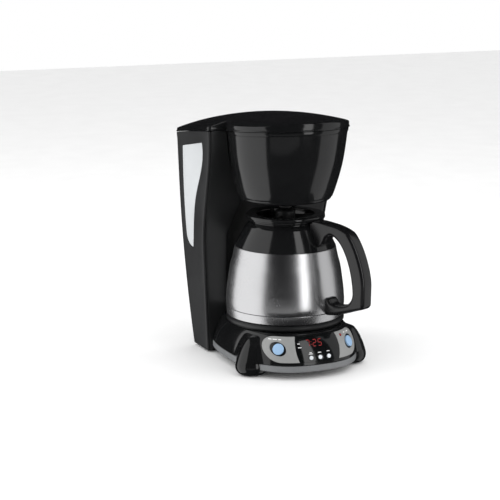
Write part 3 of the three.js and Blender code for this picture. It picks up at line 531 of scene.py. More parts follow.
BOARD = plastic("circuit_board", (0.012, 0.09, 0.035), 0.45, 300, 0.6, 8e-5, 0.2, 0.5)
STEEL = metal("brushed_steel", (0.66, 0.66, 0.67), 0.24, (1, 1, 0.015), 2600, 0.5, 0.012)
ALUMINIUM = metal("drawn_aluminium", (0.5, 0.51, 0.52), 0.35, (1, 1, 0.3), 700)
ZINC = metal("zinc_plate", (0.45, 0.45, 0.46), 0.38, (1, 1, 1), 500)
RED_DIGITS = glowing("clock_red", (0.55, 0.03, 0.03), 0.55)


# ---- base


def shoulder(z):
    rise = clamp((z - SHOULDER_START) / SHOULDER_HEIGHT)
    return 1 - SHOULDER_PULL + SHOULDER_PULL * (1 - rise**1.5) ** (1 / 1.5)


def body_reach(angle, grow=0.0):
    """Distance from the axis to the base's outline, towards an angle."""
    c, s = cos(angle), sin(angle)
    depth = BASE_FRONT if s < 0 else BASE_REAR
    return (
        (abs(c) / (BASE_HALF_WIDTH + grow)) ** BASE_POWER + (abs(s) / (depth + grow)) ** BASE_POWER
    ) ** (-1 / BASE_POWER)


def leg_radius(z):
    for (r0, z0), (r1, z1) in zip(LEG_CURVE, LEG_CURVE[1:]):
        if z0 <= z <= z1:
            return r0 + (r1 - r0) * (z - z0) / (z1 - z0)
    return 0.0


LEG_CURVE = spline(LEG_PROFILE, 60)


def leg_reach(angle, z):
    """Distance from the axis to the far side of a leg at this height, with its sides run out straight."""
    radius = leg_radius(z)
    best = 0.0
    for side in (-1, 1):
        cx, cy = side * LEG_X, LEG_Y
        along = cx * cos(angle) + cy * sin(angle)
        across = abs(cx * sin(angle) - cy * cos(angle))
        if along > 0 and radius > 0:
            edge = min(across, 0.8 * radius)
            best = max(best, along + sqrt(radius * radius - edge * edge) - 4 / 3 * (across - edge))
    return best


def smooth_max(a, b, blend):
    mix = clamp(0.5 + 0.5 * (a - b) / blend)
    return b + (a - b) * mix + blend * mix * (1 - mix)


def base_ring(z, scale=1.0, grow=0.0, count=360):
    ring = []
    for angle in turns(count):
        reach = body_reach(angle, grow) * shoulder(z)
        bulge = leg_reach(angle, z)
        if bulge > 0:
            reach = smooth_max(reach, bulge, LEG_BLEND)
        reach *= scale
        x, y = reach * cos(angle), reach * sin(angle)
        ring.append((x, min(y, BASE_BACK_EDGE), z))
    return ring


def band_ring(offset, z, count=360):
    ring = []
    for angle in turns(count):
        reach = body_reach(angle, offset)
        ring.append((reach * cos(angle), min(reach * sin(angle), BASE_BACK_EDGE + offset), z))
    return ring


bottom = SHOULDER_START + GAP
heights = [bottom + 0.7 + (BASE_TOP - 1.6 - bottom - 0.7) * (1 - (1 - i / 34) ** 1.4) for i in range(35)]
rings = [base_ring(bottom + 3, 0.95), base_ring(bottom, 0.965), base_ring(bottom, 0.993)]
rings += [base_ring(z) for z in heights]
for k in range(1, 7):
    turn = k * pi / 12
    rings.append(base_ring(BASE_TOP - 1.6 + 1.6 * sin(turn), 1 - 0.018 * (1 - cos(turn)) - 0.004 * k / 6))
rings.append(base_ring(BASE_TOP, 0.9))
body = loft("base_moulding", rings, GLOSS_BLACK, sharp=50, cap_first=True, cap_last=True)
legs = []
for side in (-1, 1):
    profile = fillet([(12, 1.2)] + LEG_CURVE[2:34], 2, 4, closed=False)
    profile = [(0, 1.2)] + profile + [(0, LEG_CURVE[33][1])]
    legs.append(lathe("leg", profile, GLOSS_BLACK, 96, (side * LEG_X, LEG_Y), closed=False))
body = join("base_moulding", [body, *legs])
belongs(body, ["base_shell"])

band_section = fillet(
    [(0, BAND_BOTTOM), (0, SHOULDER_START), (-BAND_THICKNESS, SHOULDER_START),
     (-BAND_THICKNESS, BAND_BOTTOM)], 1.0, 5,
)
trim = loft("base_trim", [band_ring(g, z) for g, z in band_section], TRIM_GREY, closed=True)
belongs(trim, ["base_trim_band"])

for label, (x, y, top) in PAD_PLACES.items():
    profile = [(0, 0), (9, 0), (10, top / 2), (10, top), (0, top)]
    pad = turned(f"foot_pad_{label}", profile, 0.3, 3, RUBBER, 64, (x, y))
    belongs(pad, [f"rubber_foot_{label}"])

profile = [(0, 60.8), (73.5, 60.8), (73.5, 56.3), (77.5, 56.3), (79.5, 59), (79.5, 62), (77.5, 64), (70, 64),
           (68.5, 63.4), (0, 63.4)]
platform = turned("platform_disc", profile, 1.2, 5, SATIN_BLACK, 192)
belongs(platform, ["carafe_platform"])


# ---- control panel


def front_y(x, z):
    scale = shoulder(z)
    across = (abs(x) / (BASE_HALF_WIDTH * scale)) ** BASE_POWER
    return -BASE_FRONT * scale * (1 - across) ** (1 / BASE_POWER)


def front_normal(x, z, step=0.5):
    slope_x = (front_y(x + step, z) - front_y(x - step, z)) / (2 * step)
    slope_z = (front_y(x, z + step) - front_y(x, z - step)) / (2 * step)
    return Vector((slope_x, -1, slope_z)).normalized()


def on_panel(proud):
    """A mapper whose depth 0 is this far in front of the base's surface."""

    def mapper(x, z, depth):
        normal = front_normal(x, z)
        reach = proud - depth
        return (x + normal.x * reach, front_y(x, z) + normal.y * reach, z + normal.z * reach)

    return mapper


def display_loop():
    edge = DISPLAY_EDGE
    low, high = PANEL_Z - PANEL_HALF_HEIGHT, PANEL_Z + PANEL_HALF_HEIGHT
    points = [(-edge, low), (edge, low)]
    points += quadratic(points[-1], (edge + 2 * DISPLAY_BOW, PANEL_Z), (edge, high), 20)
    points.append((-edge, high))
    points += quadratic(points[-1], (-edge - 2 * DISPLAY_BOW, PANEL_Z), (-edge, low), 20)[:-1]
    return points


def silver_end(side):
    """One silver end of the oval panel, up to the display."""
    edge = DISPLAY_EDGE + GAP
    low, high = PANEL_Z - PANEL_HALF_HEIGHT, PANEL_Z + PANEL_HALF_HEIGHT
    end = PANEL_HALF_LENGTH - PANEL_HALF_HEIGHT
    points = [(edge, low)]
    for i in range(41):
        turn = -pi / 2 + pi * i / 40
        points.append((end + PANEL_HALF_HEIGHT * cos(turn), PANEL_Z + PANEL_HALF_HEIGHT * sin(turn)))
    points.append((edge, high))
    points += quadratic(points[-1], (edge + 2 * DISPLAY_BOW, PANEL_Z), (edge, low), 20)[:-1]
    return [(side * x, z) for x, z in points]


parts = []
for side in (-1, 1):
    holes = [ring_loop(side * BIG_BUTTON_X, BIG_BUTTON_Z, BIG_BUTTON_RADIUS + 0.9)]
    if side > 0:
        holes.append(ring_loop(LIGHT_X, LIGHT_Z, LIGHT_RADIUS + 0.4, 24))
    outline = resample(fillet(silver_end(side), 1.0, 4), 1.5)
    parts.append(
        plate("end", outline, holes, 2.2, on_panel(PANEL_PROUD), PANEL_PROUD + 1.2, 0.5, SILVER, steps=4)
    )
for low_z, high_z in ((23.2, 24.2), (52.8, 53.8)):
    strip = resample(rectangle(-30, 30, low_z, high_z), 2)
    parts.append(plate("rim", strip, [], 2, on_panel(0.3), 1.2, 0.15, SILVER, steps=2))
fascia = join("control_panel", parts)
belongs(fascia, ["control_fascia"])

holes = [ring_loop(x, SMALL_BUTTON_Z, SMALL_BUTTON_RADIUS + 0.5, 40) for x in SMALL_BUTTONS.values()]
outline = resample(fillet(display_loop(), 0.8, 4), 1.5)
on_top = on_panel(PANEL_PROUD + 0.1)
display = plate("display_cover", outline, holes, 2.2, on_top, 0.7, 0.35, DISPLAY, steps=4)
belongs(display, ["display_window"])

# Clock digits: which of the seven bars are lit, as top, upper right, lower right, bottom, lower left,
# upper left and middle
DIGIT_BOTTOM, DIGIT_LEAN = 42, 0.12
PRINT_LIFT = 0.16
DIGITS = {7: "1110000", 2: "1101101", 5: "1011011"}


def lit_bars(digit, x, z, width=4.4, height=7.4, thick=0.95):
    half = height / 2
    gap = 0.22
    flat = [(thick / 2 + gap, 0), (width - thick / 2 - gap, 0)]
    bars = {
        0: [(flat[0][0], height), (flat[1][0], height)],
        1: [(width, height - thick / 2 - gap), (width, half + thick / 2 + gap)],
        2: [(width, half - thick / 2 - gap), (width, thick / 2 + gap)],
        3: flat,
        4: [(0, half - thick / 2 - gap), (0, thick / 2 + gap)],
        5: [(0, height - thick / 2 - gap), (0, half + thick / 2 + gap)],
        6: [(flat[0][0], half), (flat[1][0], half)],
    }
    loops = []
    for i, lit in enumerate(DIGITS[digit]):
        if lit == "0":
            continue
        (x0, z0), (x1, z1) = bars[i]
        length = hypot(x1 - x0, z1 - z0)
        ux, uz = (x1 - x0) / length, (z1 - z0) / length
        nx, nz = -uz * thick / 2, ux * thick / 2
        loop = [
            (x0 - ux * thick / 2.4, z0 - uz * thick / 2.4), (x0 + nx, z0 + nz), (x1 + nx, z1 + nz),
            (x1 + ux * thick / 2.4, z1 + uz * thick / 2.4), (x1 - nx, z1 - nz), (x0 - nx, z0 - nz),
        ]
        loops.append([(x + px + DIGIT_LEAN * pz, z + pz) for px, pz in loop])
    return loops


def printed(name, loops, material):
    """Flat shapes that stand just proud of the panel, as one piece."""
    on_top = on_panel(PANEL_PROUD + PRINT_LIFT)
    return join(name, [plate(name, loop, [], 2, on_top, 0.12, 0.04, material, steps=2) for loop in loops])


loops = []
for digit, x in ((7, -16.8), (2, -7.4), (5, 0.2)):
    loops += lit_bars(digit, x, DIGIT_BOTTOM)
for z in (44.2, 47.2):
    loops.append(ring_loop(-9.9 + DIGIT_LEAN * (z - DIGIT_BOTTOM), z, 0.5, 16))
digits = printed("clock_digits", loops, RED_DIGITS)
belongs(digits, ["clock_module"])


def dash(x, z, width, height=0.8):
    return fillet(rectangle(x - width / 2, x + width / 2, z - height / 2, z + height / 2), 0.3, 3)


MARK_PLACES = (
    (-26.2, 45.6, 3.2), (-25.8, 41.2, 4.2),
    (-12.8, 34.6, 3.0), (-12.8, 33.0, 5.4), (-0.2, 34.0, 4.8), (12.4, 34.4, 4.2),
    (-56.2, 50.3, 3.0), (-51.6, 50.4, 4.2), (-46.6, 50.3, 3.2),
    (45.6, 50.6, 2.6), (52.6, 50.2, 4.4),
)
marks = printed("panel_marks", [dash(*mark) for mark in MARK_PLACES], MARKS)
belongs(marks, [])


def stand_on_panel(obj, x, z):
    """Turns a piece drawn along +Z around the axis so that it stands on the panel."""
    turn = Vector((0, 0, 1)).rotation_difference(front_normal(x, z)).to_matrix().to_4x4()
    there = Matrix.Translation(place((x, front_y(x, z), z)))
    origin = Matrix.Translation(-place((0, 0, 0)))
    obj.data.transform(there @ turn @ origin)
    return obj


def button(name, x, z, radius, crown, material):
    profile = [(0, -4), (radius, -4), (radius, PANEL_PROUD + 0.7), (radius * 0.9, PANEL_PROUD + 1.05),
               (radius * 0.45, PANEL_PROUD + crown), (0, PANEL_PROUD + crown)]
    cap = stand_on_panel(turned(name + "_cap", profile, 0.5, 5, material, 72), x, z)
    return belongs(cap, [name], name)


for name, x in BIG_BUTTONS.items():
    button(name, x, BIG_BUTTON_Z, BIG_BUTTON_RADIUS, 1.25, BLUE)
for name, x in SMALL_BUTTONS.items():
    button(name, x, SMALL_BUTTON_Z, SMALL_BUTTON_RADIUS, 1.3, WHITE)
profile = [(0, -4), (LIGHT_RADIUS, -4), (LIGHT_RADIUS, 1.1), (0.6, 1.5), (0, 1.5)]
lamp = stand_on_panel(turned("indicator_lamp", profile, 0.3, 4, RED, 32), LIGHT_X, LIGHT_Z)
belongs(lamp, ["power_light"])


# ---- tower


def half_width(z):
    return 85 + 0.042 * z


def rear_edge(z):
    return 144.6 - 28.5 * max(0.0, 1 - z / 225) ** 2


def front_edge(z):
    return 50 + 18.5 * cos(pi * clamp((z - 141) / 170))


def seam(y):
    return 314.6 - 0.0866 * y - 0.000222 * y * y


BOWL_TABLE = [(z, r) for r, z in spline(BOWL_CURVE, 120)]


def table_value(table, z):
    if z <= table[0][0]:
        return table[0][1]
    for (z0, v0), (z1, v1) in zip(table, table[1:]):
        if z <= z1:
            return v0 + (v1 - v0) * (z - z0) / (z1 - z0)
    return table[-1][1]


def bowl_shift(z):
    return -5 + 6 * (max(0.0, BOWL_TOP - z) / (BOWL_TOP - 225)) ** 1.3


CAVITY_TABLE = spline(CAVITY, 60)


def dent(z, inset):
    """Radius and centre of the round hollow in the tower's front: the carafe's bay, then the bowl's bed."""
    blend = smooth((z - 212) / 14)
    radius = table_value(CAVITY_TABLE, z) * (1 - blend) + (table_value(BOWL_TABLE, z) + 0.7) * blend
    return radius + inset, bowl_shift(z) * blend


def tower_section(z, inset):
    """The tower shell's outline at a height, as (x, y) with the same number of points each time."""
    w = half_width(z) - PANEL_SKIN - GAP - inset
    front, rear = front_edge(z) + inset, rear_edge(z) - inset
    radius, centre = dent(z, inset)
    mouth = sqrt(max(radius * radius - (front - centre) ** 2, 1))
    arc = asin(clamp(mouth / radius, 0, 0.999))
    path = [(-w, rear), (-w, front), (-mouth, front)]
    corner = [fillet_corner(path[0], (w, rear), path[1], 5), fillet_corner(path[1], path[0], path[2], 3)]
    first = (radius * sin(-arc + 0.06), centre + radius * cos(-arc + 0.06))
    corner.append(fillet_corner(path[2], path[1], first, 2.2))
    left = []
    for a, b in zip(corner, corner[1:]):
        left += a
        left += between(a[-1], b[0], 10)
    left += corner[-1]
    hollow = []
    for i in range(1, 60):
        turn = -arc + 0.06 + (2 * arc - 0.12) * i / 60
        hollow.append((radius * sin(turn), centre + radius * cos(turn)))
    right = [(-x, y) for x, y in reversed(left)]
    rear_run = between(right[-1], left[0], 24)
    return left + hollow + right + rear_run


def between(a, b, count):
    return [tuple(a[k] + (b[k] - a[k]) * i / count for k in (0, 1)) for i in range(1, count)]


SEAM_START = 262
SEAM_FULL = 316


def tower_ring(z, inset, drop=0.15):
    """The section at a nominal height; near the top each point follows the arched seam."""
    flat = tower_section(z, inset)
    if z <= SEAM_START:
        return [(x, y, z) for x, y in flat]
    share = (z - SEAM_START) / (SEAM_FULL - SEAM_START)
    ring, sections = [], {}
    for i, (x, y) in enumerate(flat):
        height = SEAM_START + share * (seam(y) - drop - SEAM_START)
        key = round(height, 1)
        if key not in sections:
            sections[key] = tower_section(key, inset)
        sx, sy = sections[key][i]
        ring.append((sx, sy, height))
    return ring


levels = [TOWER_BOTTOM, 10, 30, 56, 80, 110, 141]
levels += [141 + 3.0 * i for i in range(1, 40)]
levels += [SEAM_START + (SEAM_FULL - SEAM_START) * i / 12 for i in range(1, 13)]
outer = [tower_ring(z, 0) for z in levels]
outer[-1] = tower_ring(SEAM_FULL - 0.5, 0)
lip = [tower_ring(SEAM_FULL, 0.4), tower_ring(SEAM_FULL, WALL - 0.4), tower_ring(SEAM_FULL - 0.5, WALL)]
inner = [tower_ring(z, WALL) for z in reversed(levels[3:-1])]
shell = loft("tower_moulding", outer + lip + inner, SATIN_BLACK, sharp=45, cap_first=False)
w = half_width(TOWER_BOTTOM) - PANEL_SKIN - GAP
floor_outline = fillet(rectangle(-w, w, 68.5, rear_edge(TOWER_BOTTOM)), 5, 5)
floor = plate(
    "floor", resample(floor_outline, 6), [], 12, lambda u, v, d: (u, v, TOWER_BOTTOM + 0.05 + d), 2.7, 0.4,
    SATIN_BLACK, steps=3,
)
parts = [shell, floor]


def bar(name, y, z, radius, low_x, high_x, material, edge=0.5):
    """A round bar along X."""
    profile = fillet([(0, low_x), (radius, low_x), (radius, high_x), (0, high_x)], edge, 4, closed=False)
    return loft(name, [[(h, *p) for p in ring_loop(y, z, r, 48)] for r, h in profile], material)


def block(name, x0, x1, y0, y1, z0, z1, edge, material):
    outline = resample(fillet(rectangle(x0, x1, y0, y1), edge, 4), 8)
    return plate(name, outline, [], 8, lambda u, v, d: (u, v, z1 - d), z1 - z0, min(edge, (z1 - z0) / 3),
                 material, back_rounding=1.0, steps=3)


for side in (-1, 1):
    x0, x1 = sorted((side * 45, side * 60))
    parts.append(bar("barrel", HINGE_Y, HINGE_Z, HINGE_RADIUS, x0, x1, SATIN_BLACK))
    parts.append(block("arm", x0, x1, 140.5, HINGE_Y, HINGE_Z - 5.5, HINGE_Z - 0.8, 0.6, SATIN_BLACK))
tower = join("tower_moulding", parts)
belongs(tower, ["tower_shell"])


def window_outline(grow=0.0):
    start = (56 - grow, 293.5 + grow)
    points = [start]
    points += bezier(start, (48 - grow, 262), (80 - grow, 236), (90 - grow, 206), 24)
    points += bezier(points[-1], (99 - grow, 180), (99 - grow, 162), (103.5 - grow, 142 - grow), 20)
    points += quadratic(points[-1], (121 + grow, 142 - grow), (126 + grow, 156), 12)
    points += bezier(points[-1], (130 + grow, 185), (130.5 + grow, 240), (125.5 + grow, 281 + grow), 24)
    return resample(fillet(points, 2.0, 5), 4)


def side_outline():
    points = []
    count = 70
    for i in range(count + 1):
        z = TOWER_BOTTOM + (seam(front_edge(310)) - 0.2 - TOWER_BOTTOM) * i / count
        points.append((front_edge(z), z))
    rear_top = seam(rear_edge(300)) - 0.2
    front_top = points[-1][0]
    for i in range(1, 16):
        y = front_top + (rear_edge(rear_top) - front_top) * i / 16
        points.append((y, seam(y) - 0.2))
    for i in range(count + 1):
        z = rear_top + (TOWER_BOTTOM - rear_top) * i / count
        points.append((rear_edge(z), z))
    return resample(fillet(points, 3, 5), 5)


def on_side(side, sunk):
    return lambda y, z, depth: (side * (half_width(z) - sunk - depth), y, z)


def side_rounding(y, z):
    return 0.5 + 1.7 * clamp((seam(y) - z) / 8)


for side, label in ((-1, "left"), (1, "right")):
    holes = [window_outline(GAP)] if side < 0 else []

    def edge_radius(y, z):
        near_window = side < 0 and 138 < z < 296 and front_edge(z) + 3.5 < y < rear_edge(z) - 3.5
        return 0.6 if near_window else side_rounding(y, z)

    panel = plate(f"side_cover_{label}", side_outline(), holes, 9, on_side(side, 0), PANEL_SKIN,
                  edge_radius, TEXTURED_GREY)
    belongs(panel, [f"side_panel_{label}"])

lens = plate("level_window", window_outline(0), [], 6, on_side(-1, 0.7), 2.6, 0.4, WINDOW, steps=4)
parts = [lens]
for i in range(9):
    z = 156 + 14 * i
    length = 9 if i % 2 == 0 else 5.5
    reach = [p for p in window_outline(0) if abs(p[1] - z) < 4 and p[0] > 114]
    y = min(p[0] for p in reach) - 4
    tick = fillet(rectangle(y - length, y, z - 0.45, z + 0.45), 0.3, 3)
    parts.append(plate("tick", tick, [], 3, on_side(-1, 0.45), 0.4, 0.1, WINDOW, steps=2))
window = join("level_window", parts)
belongs(window, ["water_window"])


def on_rear(x, z, depth):
    return (x, rear_edge(z) + 0.35 - depth, z)


outline = resample(fillet(rectangle(-68, 68, 34, 268), 6, 6), 6)
rear = plate("rear_panel", outline, [], 9, on_rear, 2.0, 0.6, SATIN_BLACK)
belongs(rear, ["rear_cover"])


# ---- brew head

SEGMENTS = 200


def head_ring(z, inset, drop=0.15):
    """A ring of the bowl's wall; near the top its points follow the arched seam."""
    share = clamp((z - SEAM_START) / (SEAM_FULL - SEAM_START))
    ring = []
    for angle in turns(SEGMENTS):
        height = z
        for _ in range(3):
            radius = table_value(BOWL_TABLE, height) - inset
            y = bowl_shift(height) + radius * sin(angle)
            if share > 0:
                height = SEAM_START + share * (seam(y) - drop - SEAM_START)
        ring.append((radius * cos(angle), y, height))
    return ring


outlet = [(10, 212.4), (10.6, 212), (11.5, 212), (12, 212.5), (12, 219.5), (13.2, 220.9)]
rings = [circle(r, z, SEGMENTS) for r, z in outlet]
under = bowl_shift(BOWL_BOTTOM)
rings.append(circle(40, BOWL_BOTTOM, SEGMENTS, (0, under * 0.7)))
for k in range(7):
    turn = k * pi / 12
    rings.append(circle(61.9 - 4 + 4 * sin(turn), BOWL_BOTTOM + 4 - 4 * cos(turn), SEGMENTS, (0, under)))
walls = [226 + (SEAM_START - 226) * i / 22 for i in range(23)]
tops = [SEAM_START + (SEAM_FULL - SEAM_START) * i / 16 for i in range(1, 16)]
rings += [head_ring(z, 0) for z in walls + tops]
rim_low = SEAM_FULL - 5.4
rings = [ring for ring in rings if max(p[2] for p in ring) < 308.6]
rings += [head_ring(rim_low, 0), head_ring(rim_low + 0.25, -0.55), head_ring(rim_low + 0.8, -0.8)]
rings += [head_ring(SEAM_FULL - 0.7, -0.8), head_ring(SEAM_FULL - 0.2, -0.6), head_ring(SEAM_FULL, 0)]
rings += [head_ring(SEAM_FULL, WALL - 0.5), head_ring(SEAM_FULL - 0.5, WALL)]
rings += [head_ring(z, WALL) for z in reversed(walls + tops[:-1])]
rings.append(circle(30, 223.9, SEGMENTS, (0, under * 0.5)))
rings.append(circle(10, 223.9, SEGMENTS))
bowl = loft("brew_head_tub", rings, GLOSS_BLACK, sharp=50, closed=True)
belongs(bowl, ["brew_head_shell"])


# ---- lid


def dome_height(x, y, drop=0.0):
    fall = CROWN_ACROSS * x * x + CROWN_ALONG * (y - CROWN_CENTRE_Y) ** 2
    return seam(y) + CROWN_HEIGHT - fall - drop


def lid_plan():
    """The lid's outline seen from above: the bowl's circle and the tower's rectangle."""
    start = asin((LID_TOWER_FRONT - LID_CENTRE_Y) / LID_RADIUS)
    points = []
    for i in range(141):
        turn = pi - start + (pi + 2 * start) * i / 140
        points.append((LID_RADIUS * cos(turn), LID_CENTRE_Y + LID_RADIUS * sin(turn)))
    w = LID_HALF_WIDTH
    points += [(w, LID_TOWER_FRONT), (w, LID_REAR), (-w, LID_REAR), (-w, LID_TOWER_FRONT)]
    outline = []
    count = len(points)
    for i, p in enumerate(points):
        a, b = points[i - 1], points[(i + 1) % count]
        corner = p in points[141:] or i in (0, 140)
        if corner:
            outline += fillet_corner(p, a, b, 5 if i not in (0, 140) else 0.8, 6)
        else:
            outline.append(p)
    return resample(outline, 3)


PLAN = lid_plan()


def plan_at(inset):
    if inset == 0:
        return PLAN
    count = len(PLAN)
    found = []
    for i, p in enumerate(PLAN):
        a, b = PLAN[i - 1], PLAN[(i + 1) % count]
        t = (b[0] - a[0], b[1] - a[1])
        length = hypot(*t)
        found.append((p[0] - t[1] / length * inset, p[1] + t[0] / length * inset))
    return found


def lid_ring(inset, height):
    return [(x, y, height(x, y)) for x, y in plan_at(inset)]


def lid_spread(inset, share, drop):
    """A ring drawn in towards the lid's middle, on the dome."""
    ring = []
    for x, y in plan_at(inset):
        cx, cy = x * share, 40 + (y - 40) * share
        ring.append((cx, cy, dome_height(cx, cy, drop)))
    return ring


EDGE = 1.3
rings = [lid_spread(EDGE, s, 0) for s in (0.0, 0.05, *[0.1 * i for i in range(1, 10)], 0.95, 0.985)]
for k in range(6):
    turn = k * pi / 10
    draw = EDGE * (1 - sin(turn))
    fall = EDGE * (1 - cos(turn))
    rings.append(lid_ring(draw, lambda x, y, fall=fall: dome_height(x, y) - fall))
rings.append(lid_ring(0, lambda x, y: seam(y) + 2.6))
for out, lift in ((-0.35, 2.1), (-0.8, 1.6), (-0.95, 1.1), (-0.8, 0.55), (-0.3, 0.2), (0.6, 0.15)):
    rings.append(lid_ring(out, lambda x, y, lift=lift: seam(y) + lift))
rings.append(lid_ring(LID_THICKNESS, lambda x, y: seam(y) + 0.15))
rings.append(lid_ring(LID_THICKNESS, lambda x, y: dome_height(x, y) - LID_THICKNESS - 0.6))
rings.append(lid_ring(LID_THICKNESS + 0.6, lambda x, y: dome_height(x, y) - LID_THICKNESS))
rings += [lid_spread(LID_THICKNESS + 0.6, s, LID_THICKNESS) for s in (0.9, 0.6, 0.3, 0.0)]
top = loft("hinged_lid", rings, GLOSS_BLACK, sharp=50)
parts = [top]
for y in (20, 84):
    parts.append(block("rib", -7, 7, y, y + 3, 320.3, dome_height(0, y) - 1.4, 0.5, GLOSS_BLACK))
for side in (-1, 1):
    x0, x1 = sorted((side * 30, side * 44.4))
    parts.append(bar("barrel", HINGE_Y, HINGE_Z, HINGE_RADIUS, x0, x1, GLOSS_BLACK))
    low_z, high_z = HINGE_Z + 0.6, HINGE_Z + 5.5
    parts.append(block("arm", x0, x1, LID_REAR - 1.5, HINGE_Y, low_z, high_z, 0.6, GLOSS_BLACK))
lid = join("hinged_lid", parts)
belongs(lid, ["lid_cover"], "lid")


# ---- carafe

CARAFE_COUNT = 224
BODY_PROFILE = [(79.3, BASE_SEAM + 0.35), (79.7, 84), (78.9, 96), (77.6, 107.6), (74.2, 130), (70.8, 143),
                (67.6, COLLAR_SEAM - 0.15)]
COLLAR_PROFILE = [(67.4, COLLAR_SEAM + 0.15), (64.5, 164), (58.9, 175), (52.8, 186)]

outside = spline(BODY_PROFILE, 60)
outside = [(outside[0][0] - 0.45, outside[0][1])] + [(outside[0][0], outside[0][1] + 0.45)] + outside[2:]
wall = outside + [(r - 1.2, z) for r, z in reversed(outside)]
shell = lathe("carafe_body", wall, STEEL, CARAFE_COUNT)
belongs(shell, ["carafe_shell"], "carafe")

profile = [(0, CARAFE_BOTTOM + 0.9), (66, CARAFE_BOTTOM + 0.9), (69, CARAFE_BOTTOM), (76.6, CARAFE_BOTTOM),
           (78.4, CARAFE_BOTTOM + 1.2), (79.25, BASE_SEAM - 0.3), (78.8, BASE_SEAM), (77, BASE_SEAM),
           (75.8, CARAFE_BOTTOM + 2), (0, CARAFE_BOTTOM + 2)]
foot = turned("carafe_base_cup", profile, 1.0, 4, STEEL, CARAFE_COUNT)
belongs(foot, ["carafe_foot"], "carafe")

outside = spline(COLLAR_PROFILE, 30)
outside[0] = (outside[0][0] - 0.5, outside[0][1])
neck = [outside[-1], (48.6, 189.4), (46.9, 191), (46.9, 192.4), (49.5, 193), (49.5, NECK_TOP)]
neck = fillet(neck, 1.6, 5, closed=False)
profile = outside[:-1] + neck + [(45.4, NECK_TOP), (45.4, 186), (56.2, 173.6), (64.2, COLLAR_SEAM + 0.2)]
collar = lathe("carafe_shoulder", profile, GLOSS_BLACK, CARAFE_COUNT)
belongs(collar, ["carafe_collar"], "carafe")


def handle_outline():
    points = [(54.4, 197.0)]
    points += bezier(points[-1], (80, 198.6), (100, 195), (112, 189), 20)
    points += bezier(points[-1], (124, 180), (140, 146), (141, 122), 26)
    points.append((140.5, 97))
    points += quadratic(points[-1], (140, 92), (135, 90.5), 8)
    points += bezier(points[-1], (115, 84), (96, 75), (78, 74.5), 20)
    points += bezier(points[-1], (70, 76), (71, 97), (79, 98), 14)
    points += bezier(points[-1], (86, 99), (84, 90), (92, 90), 12)
    points += bezier(points[-1], (108, 90), (122, 96), (121, 112), 20)
    points += bezier(points[-1], (119, 140), (108, 166), (96, 176), 24)
    points += bezier(points[-1], (88, 183), (82, 183), (78, 179), 12)
    points += bezier(points[-1], (74, 172), (70, 164), (60, 164), 12)
    points += [(51, 172), (51, 194.6), (54.4, 194.6)]
    return resample(points, 2.2)


def on_handle(reach, z, depth):
    across = HANDLE_WIDTH / 2 - depth
    x, y = reach * sin(HANDLE_ANGLE), -reach * cos(HANDLE_ANGLE)
    return (x + across * cos(HANDLE_ANGLE), y + across * sin(HANDLE_ANGLE), z)


def handle_rounding(reach, _):
    return 0.8 + 4.4 * smooth((reach - 56) / 26)


grip = plate("carafe_grip", handle_outline(), [], 4, on_handle, HANDLE_WIDTH, handle_rounding, HANDLE_BLACK,
             back_rounding=1.0, steps=8, sharp=60)
belongs(grip, ["carafe_handle"], "carafe")

SPOUT_ANGLE = atan2(cos(HANDLE_ANGLE), -sin(HANDLE_ANGLE))


def lip_ring(radius, z, share):
    """A ring of the carafe lid's flange, drawn out into a spout opposite the handle."""
    ring = []
    for angle in turns(SEGMENTS):
        off = atan2(sin(angle - SPOUT_ANGLE), cos(angle - SPOUT_ANGLE))
        reach = radius + share * 4.6 * smooth(1 - abs(off) / 0.42)
        ring.append((reach * cos(angle), reach * sin(angle), z))
    return ring


plug = [(0.0, 188), (41.6, 188), (42.6, 189), (42.6, 195), (43.2, NECK_TOP + GAP)]
rings = [circle(r, z, SEGMENTS) for r, z in plug]
rings += [lip_ring(RING_RADIUS - 0.6, NECK_TOP + GAP, 1), lip_ring(RING_RADIUS, NECK_TOP + GAP + 0.6, 1)]
for k in range(7):
    turn = k * pi / 12
    rings.append(lip_ring(RING_RADIUS - 1.5 + 1.5 * cos(turn), RING_TOP - 1.5 + 1.5 * sin(turn), 1))
for k in range(7):
    turn = pi / 2 + k * pi / 12
    rings.append(lip_ring(40.2 + 1.6 * cos(turn), RING_TOP - 1.6 + 1.6 * sin(turn), 0))
recess = [(38.3, 192.2), (37.6, 191), (36.6, 190.5), (14, 190.5), (0.0, 190.5)]
rings += [circle(r, z, SEGMENTS) for r, z in recess]
cap = loft("carafe_stopper", rings, GLOSS_BLACK, sharp=50)
parts = [cap]
for i in range(3):
    turn = radians(120 * i - 24)

    def on_spoke(u, v, depth, turn=turn):
        return (u * cos(turn) - v * sin(turn), u * sin(turn) + v * cos(turn), 199.3 - depth)

    outline = resample(rectangle(10, 39, -2.6, 2.6), 2)
    parts.append(plate("spoke", outline, [], 3, on_spoke, 9.2, 1.2, GLOSS_BLACK, steps=4))
stopper = join("carafe_stopper", parts)
belongs(stopper, ["carafe_lid"], "carafe_lid")

profile = fillet([(4, 191.1), (13, 191.1), (13, 203.4), (11.5, 205.4), (7, 205.4), (4, 202.4)], 0.7, 4)
hub = lathe("stopper_hub", profile, SATIN_BLACK, 96)
belongs(hub, ["brew_through_hub"], "carafe_lid")


# ---- pieces kept from the CAD

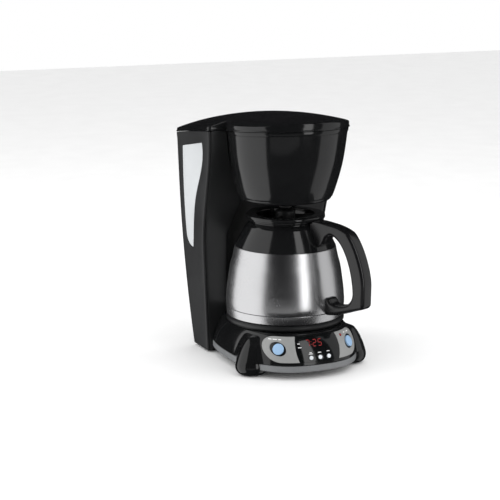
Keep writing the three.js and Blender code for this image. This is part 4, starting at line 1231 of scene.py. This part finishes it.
KEPT = {
    SATIN_BLACK: ("bottom_cover", "brew_basket", "lid_water_channel", "shower_head", "drip_valve"),
    RUBBER: ("cord_gland",),
    BOARD: ("control_board",),
    STEEL: ("carafe_liner",),
    WHITE: ("check_valve", "riser_tube"),
    TANK: ("reservoir_tank",),
    SILICONE: ("cold_water_hose", "hot_water_hose", "carafe_lid_gasket"),
    ALUMINIUM: ("heater_tube",),
    ZINC: ("thermostat", "hinge_pin_left", "hinge_pin_right", "valve_spring", "cover_screw_1",
           "cover_screw_2", "cover_screw_3", "cover_screw_4"),
}
for material, names in KEPT.items():
    for name in names:
        materials = bpy.data.objects[name].data.materials
        materials.clear()
        materials.append(material)

# ---- floor, light and camera

mesh = bpy.data.meshes.new("floor")
mesh.from_pydata([(*corner, -0.0002) for corner in rectangle(-4, 4, -4, 4)], [], [(0, 1, 2, 3)])
ground = bpy.data.objects.new("floor", mesh)
bpy.context.scene.collection.objects.link(ground)
mesh.materials.append(plastic("pale_floor", (0.95, 0.95, 0.95), 0.7, 60, 0.02, 2e-5, 0.05, 0.01))
ground.visible_glossy = False
ground.visible_shadow = False

VIEW_TURN = radians(-24.5)


def softbox(name, turn, width, height, middle, watts, distance=1.3):
    """A soft light at an angle to the right of the line from the object to the camera."""
    angle = -pi / 2 + VIEW_TURN + radians(turn)
    data = bpy.data.lights.new(name, "AREA")
    data.shape = "RECTANGLE"
    data.size, data.size_y, data.energy = width, height, watts
    obj = bpy.data.objects.new(name, data)
    bpy.context.scene.collection.objects.link(obj)
    obj.location = (distance * cos(angle), distance * sin(angle), middle)
    aim = Vector((0, 0, min(middle, 0.3))) - obj.location
    obj.rotation_euler = aim.to_track_quat("-Z", "Y").to_euler()
    return obj


softbox("left_softbox", -80, 2.0, 3.2, 0.1, 23)
softbox("right_strip", 37, 0.4, 1.6, 0.6, 4.6)
softbox("right_softbox", 88, 1.1, 3.2, 0.1, 7.5)
softbox("low_card", -6, 1.4, 0.3, -0.17, 0.3)
overhead = softbox("overhead", 150, 2.2, 1.6, 1.9, 6, 0.5)
overhead.visible_glossy = False

world = bpy.data.worlds.new("studio")
bpy.context.scene.world = world
world.use_nodes = True
tree = world.node_tree
background = tree.nodes["Background"]
path = tree.nodes.new("ShaderNodeLightPath")
seen = tree.nodes.new("ShaderNodeMath")
tree.links.new(path.outputs["Is Camera Ray"], seen.inputs[0])
tree.links.new(path.outputs["Is Diffuse Ray"], seen.inputs[1])
sky = mixed(tree, seen.outputs[0], (0.012, 0.012, 0.013), (1, 1, 1))
tree.links.new(sky, background.inputs["Color"])

camera_data = bpy.data.cameras.new("camera")
camera_data.sensor_width = 36
camera_data.lens = 115.2
camera = bpy.data.objects.new("camera", camera_data)
bpy.context.scene.collection.objects.link(camera)
camera.location = place((-913.7, -1890.8, 596.3))
camera.rotation_euler = (radians(77.996), 0, VIEW_TURN)
bpy.context.scene.camera = camera
bpy.context.scene.view_settings.view_transform = "Standard"
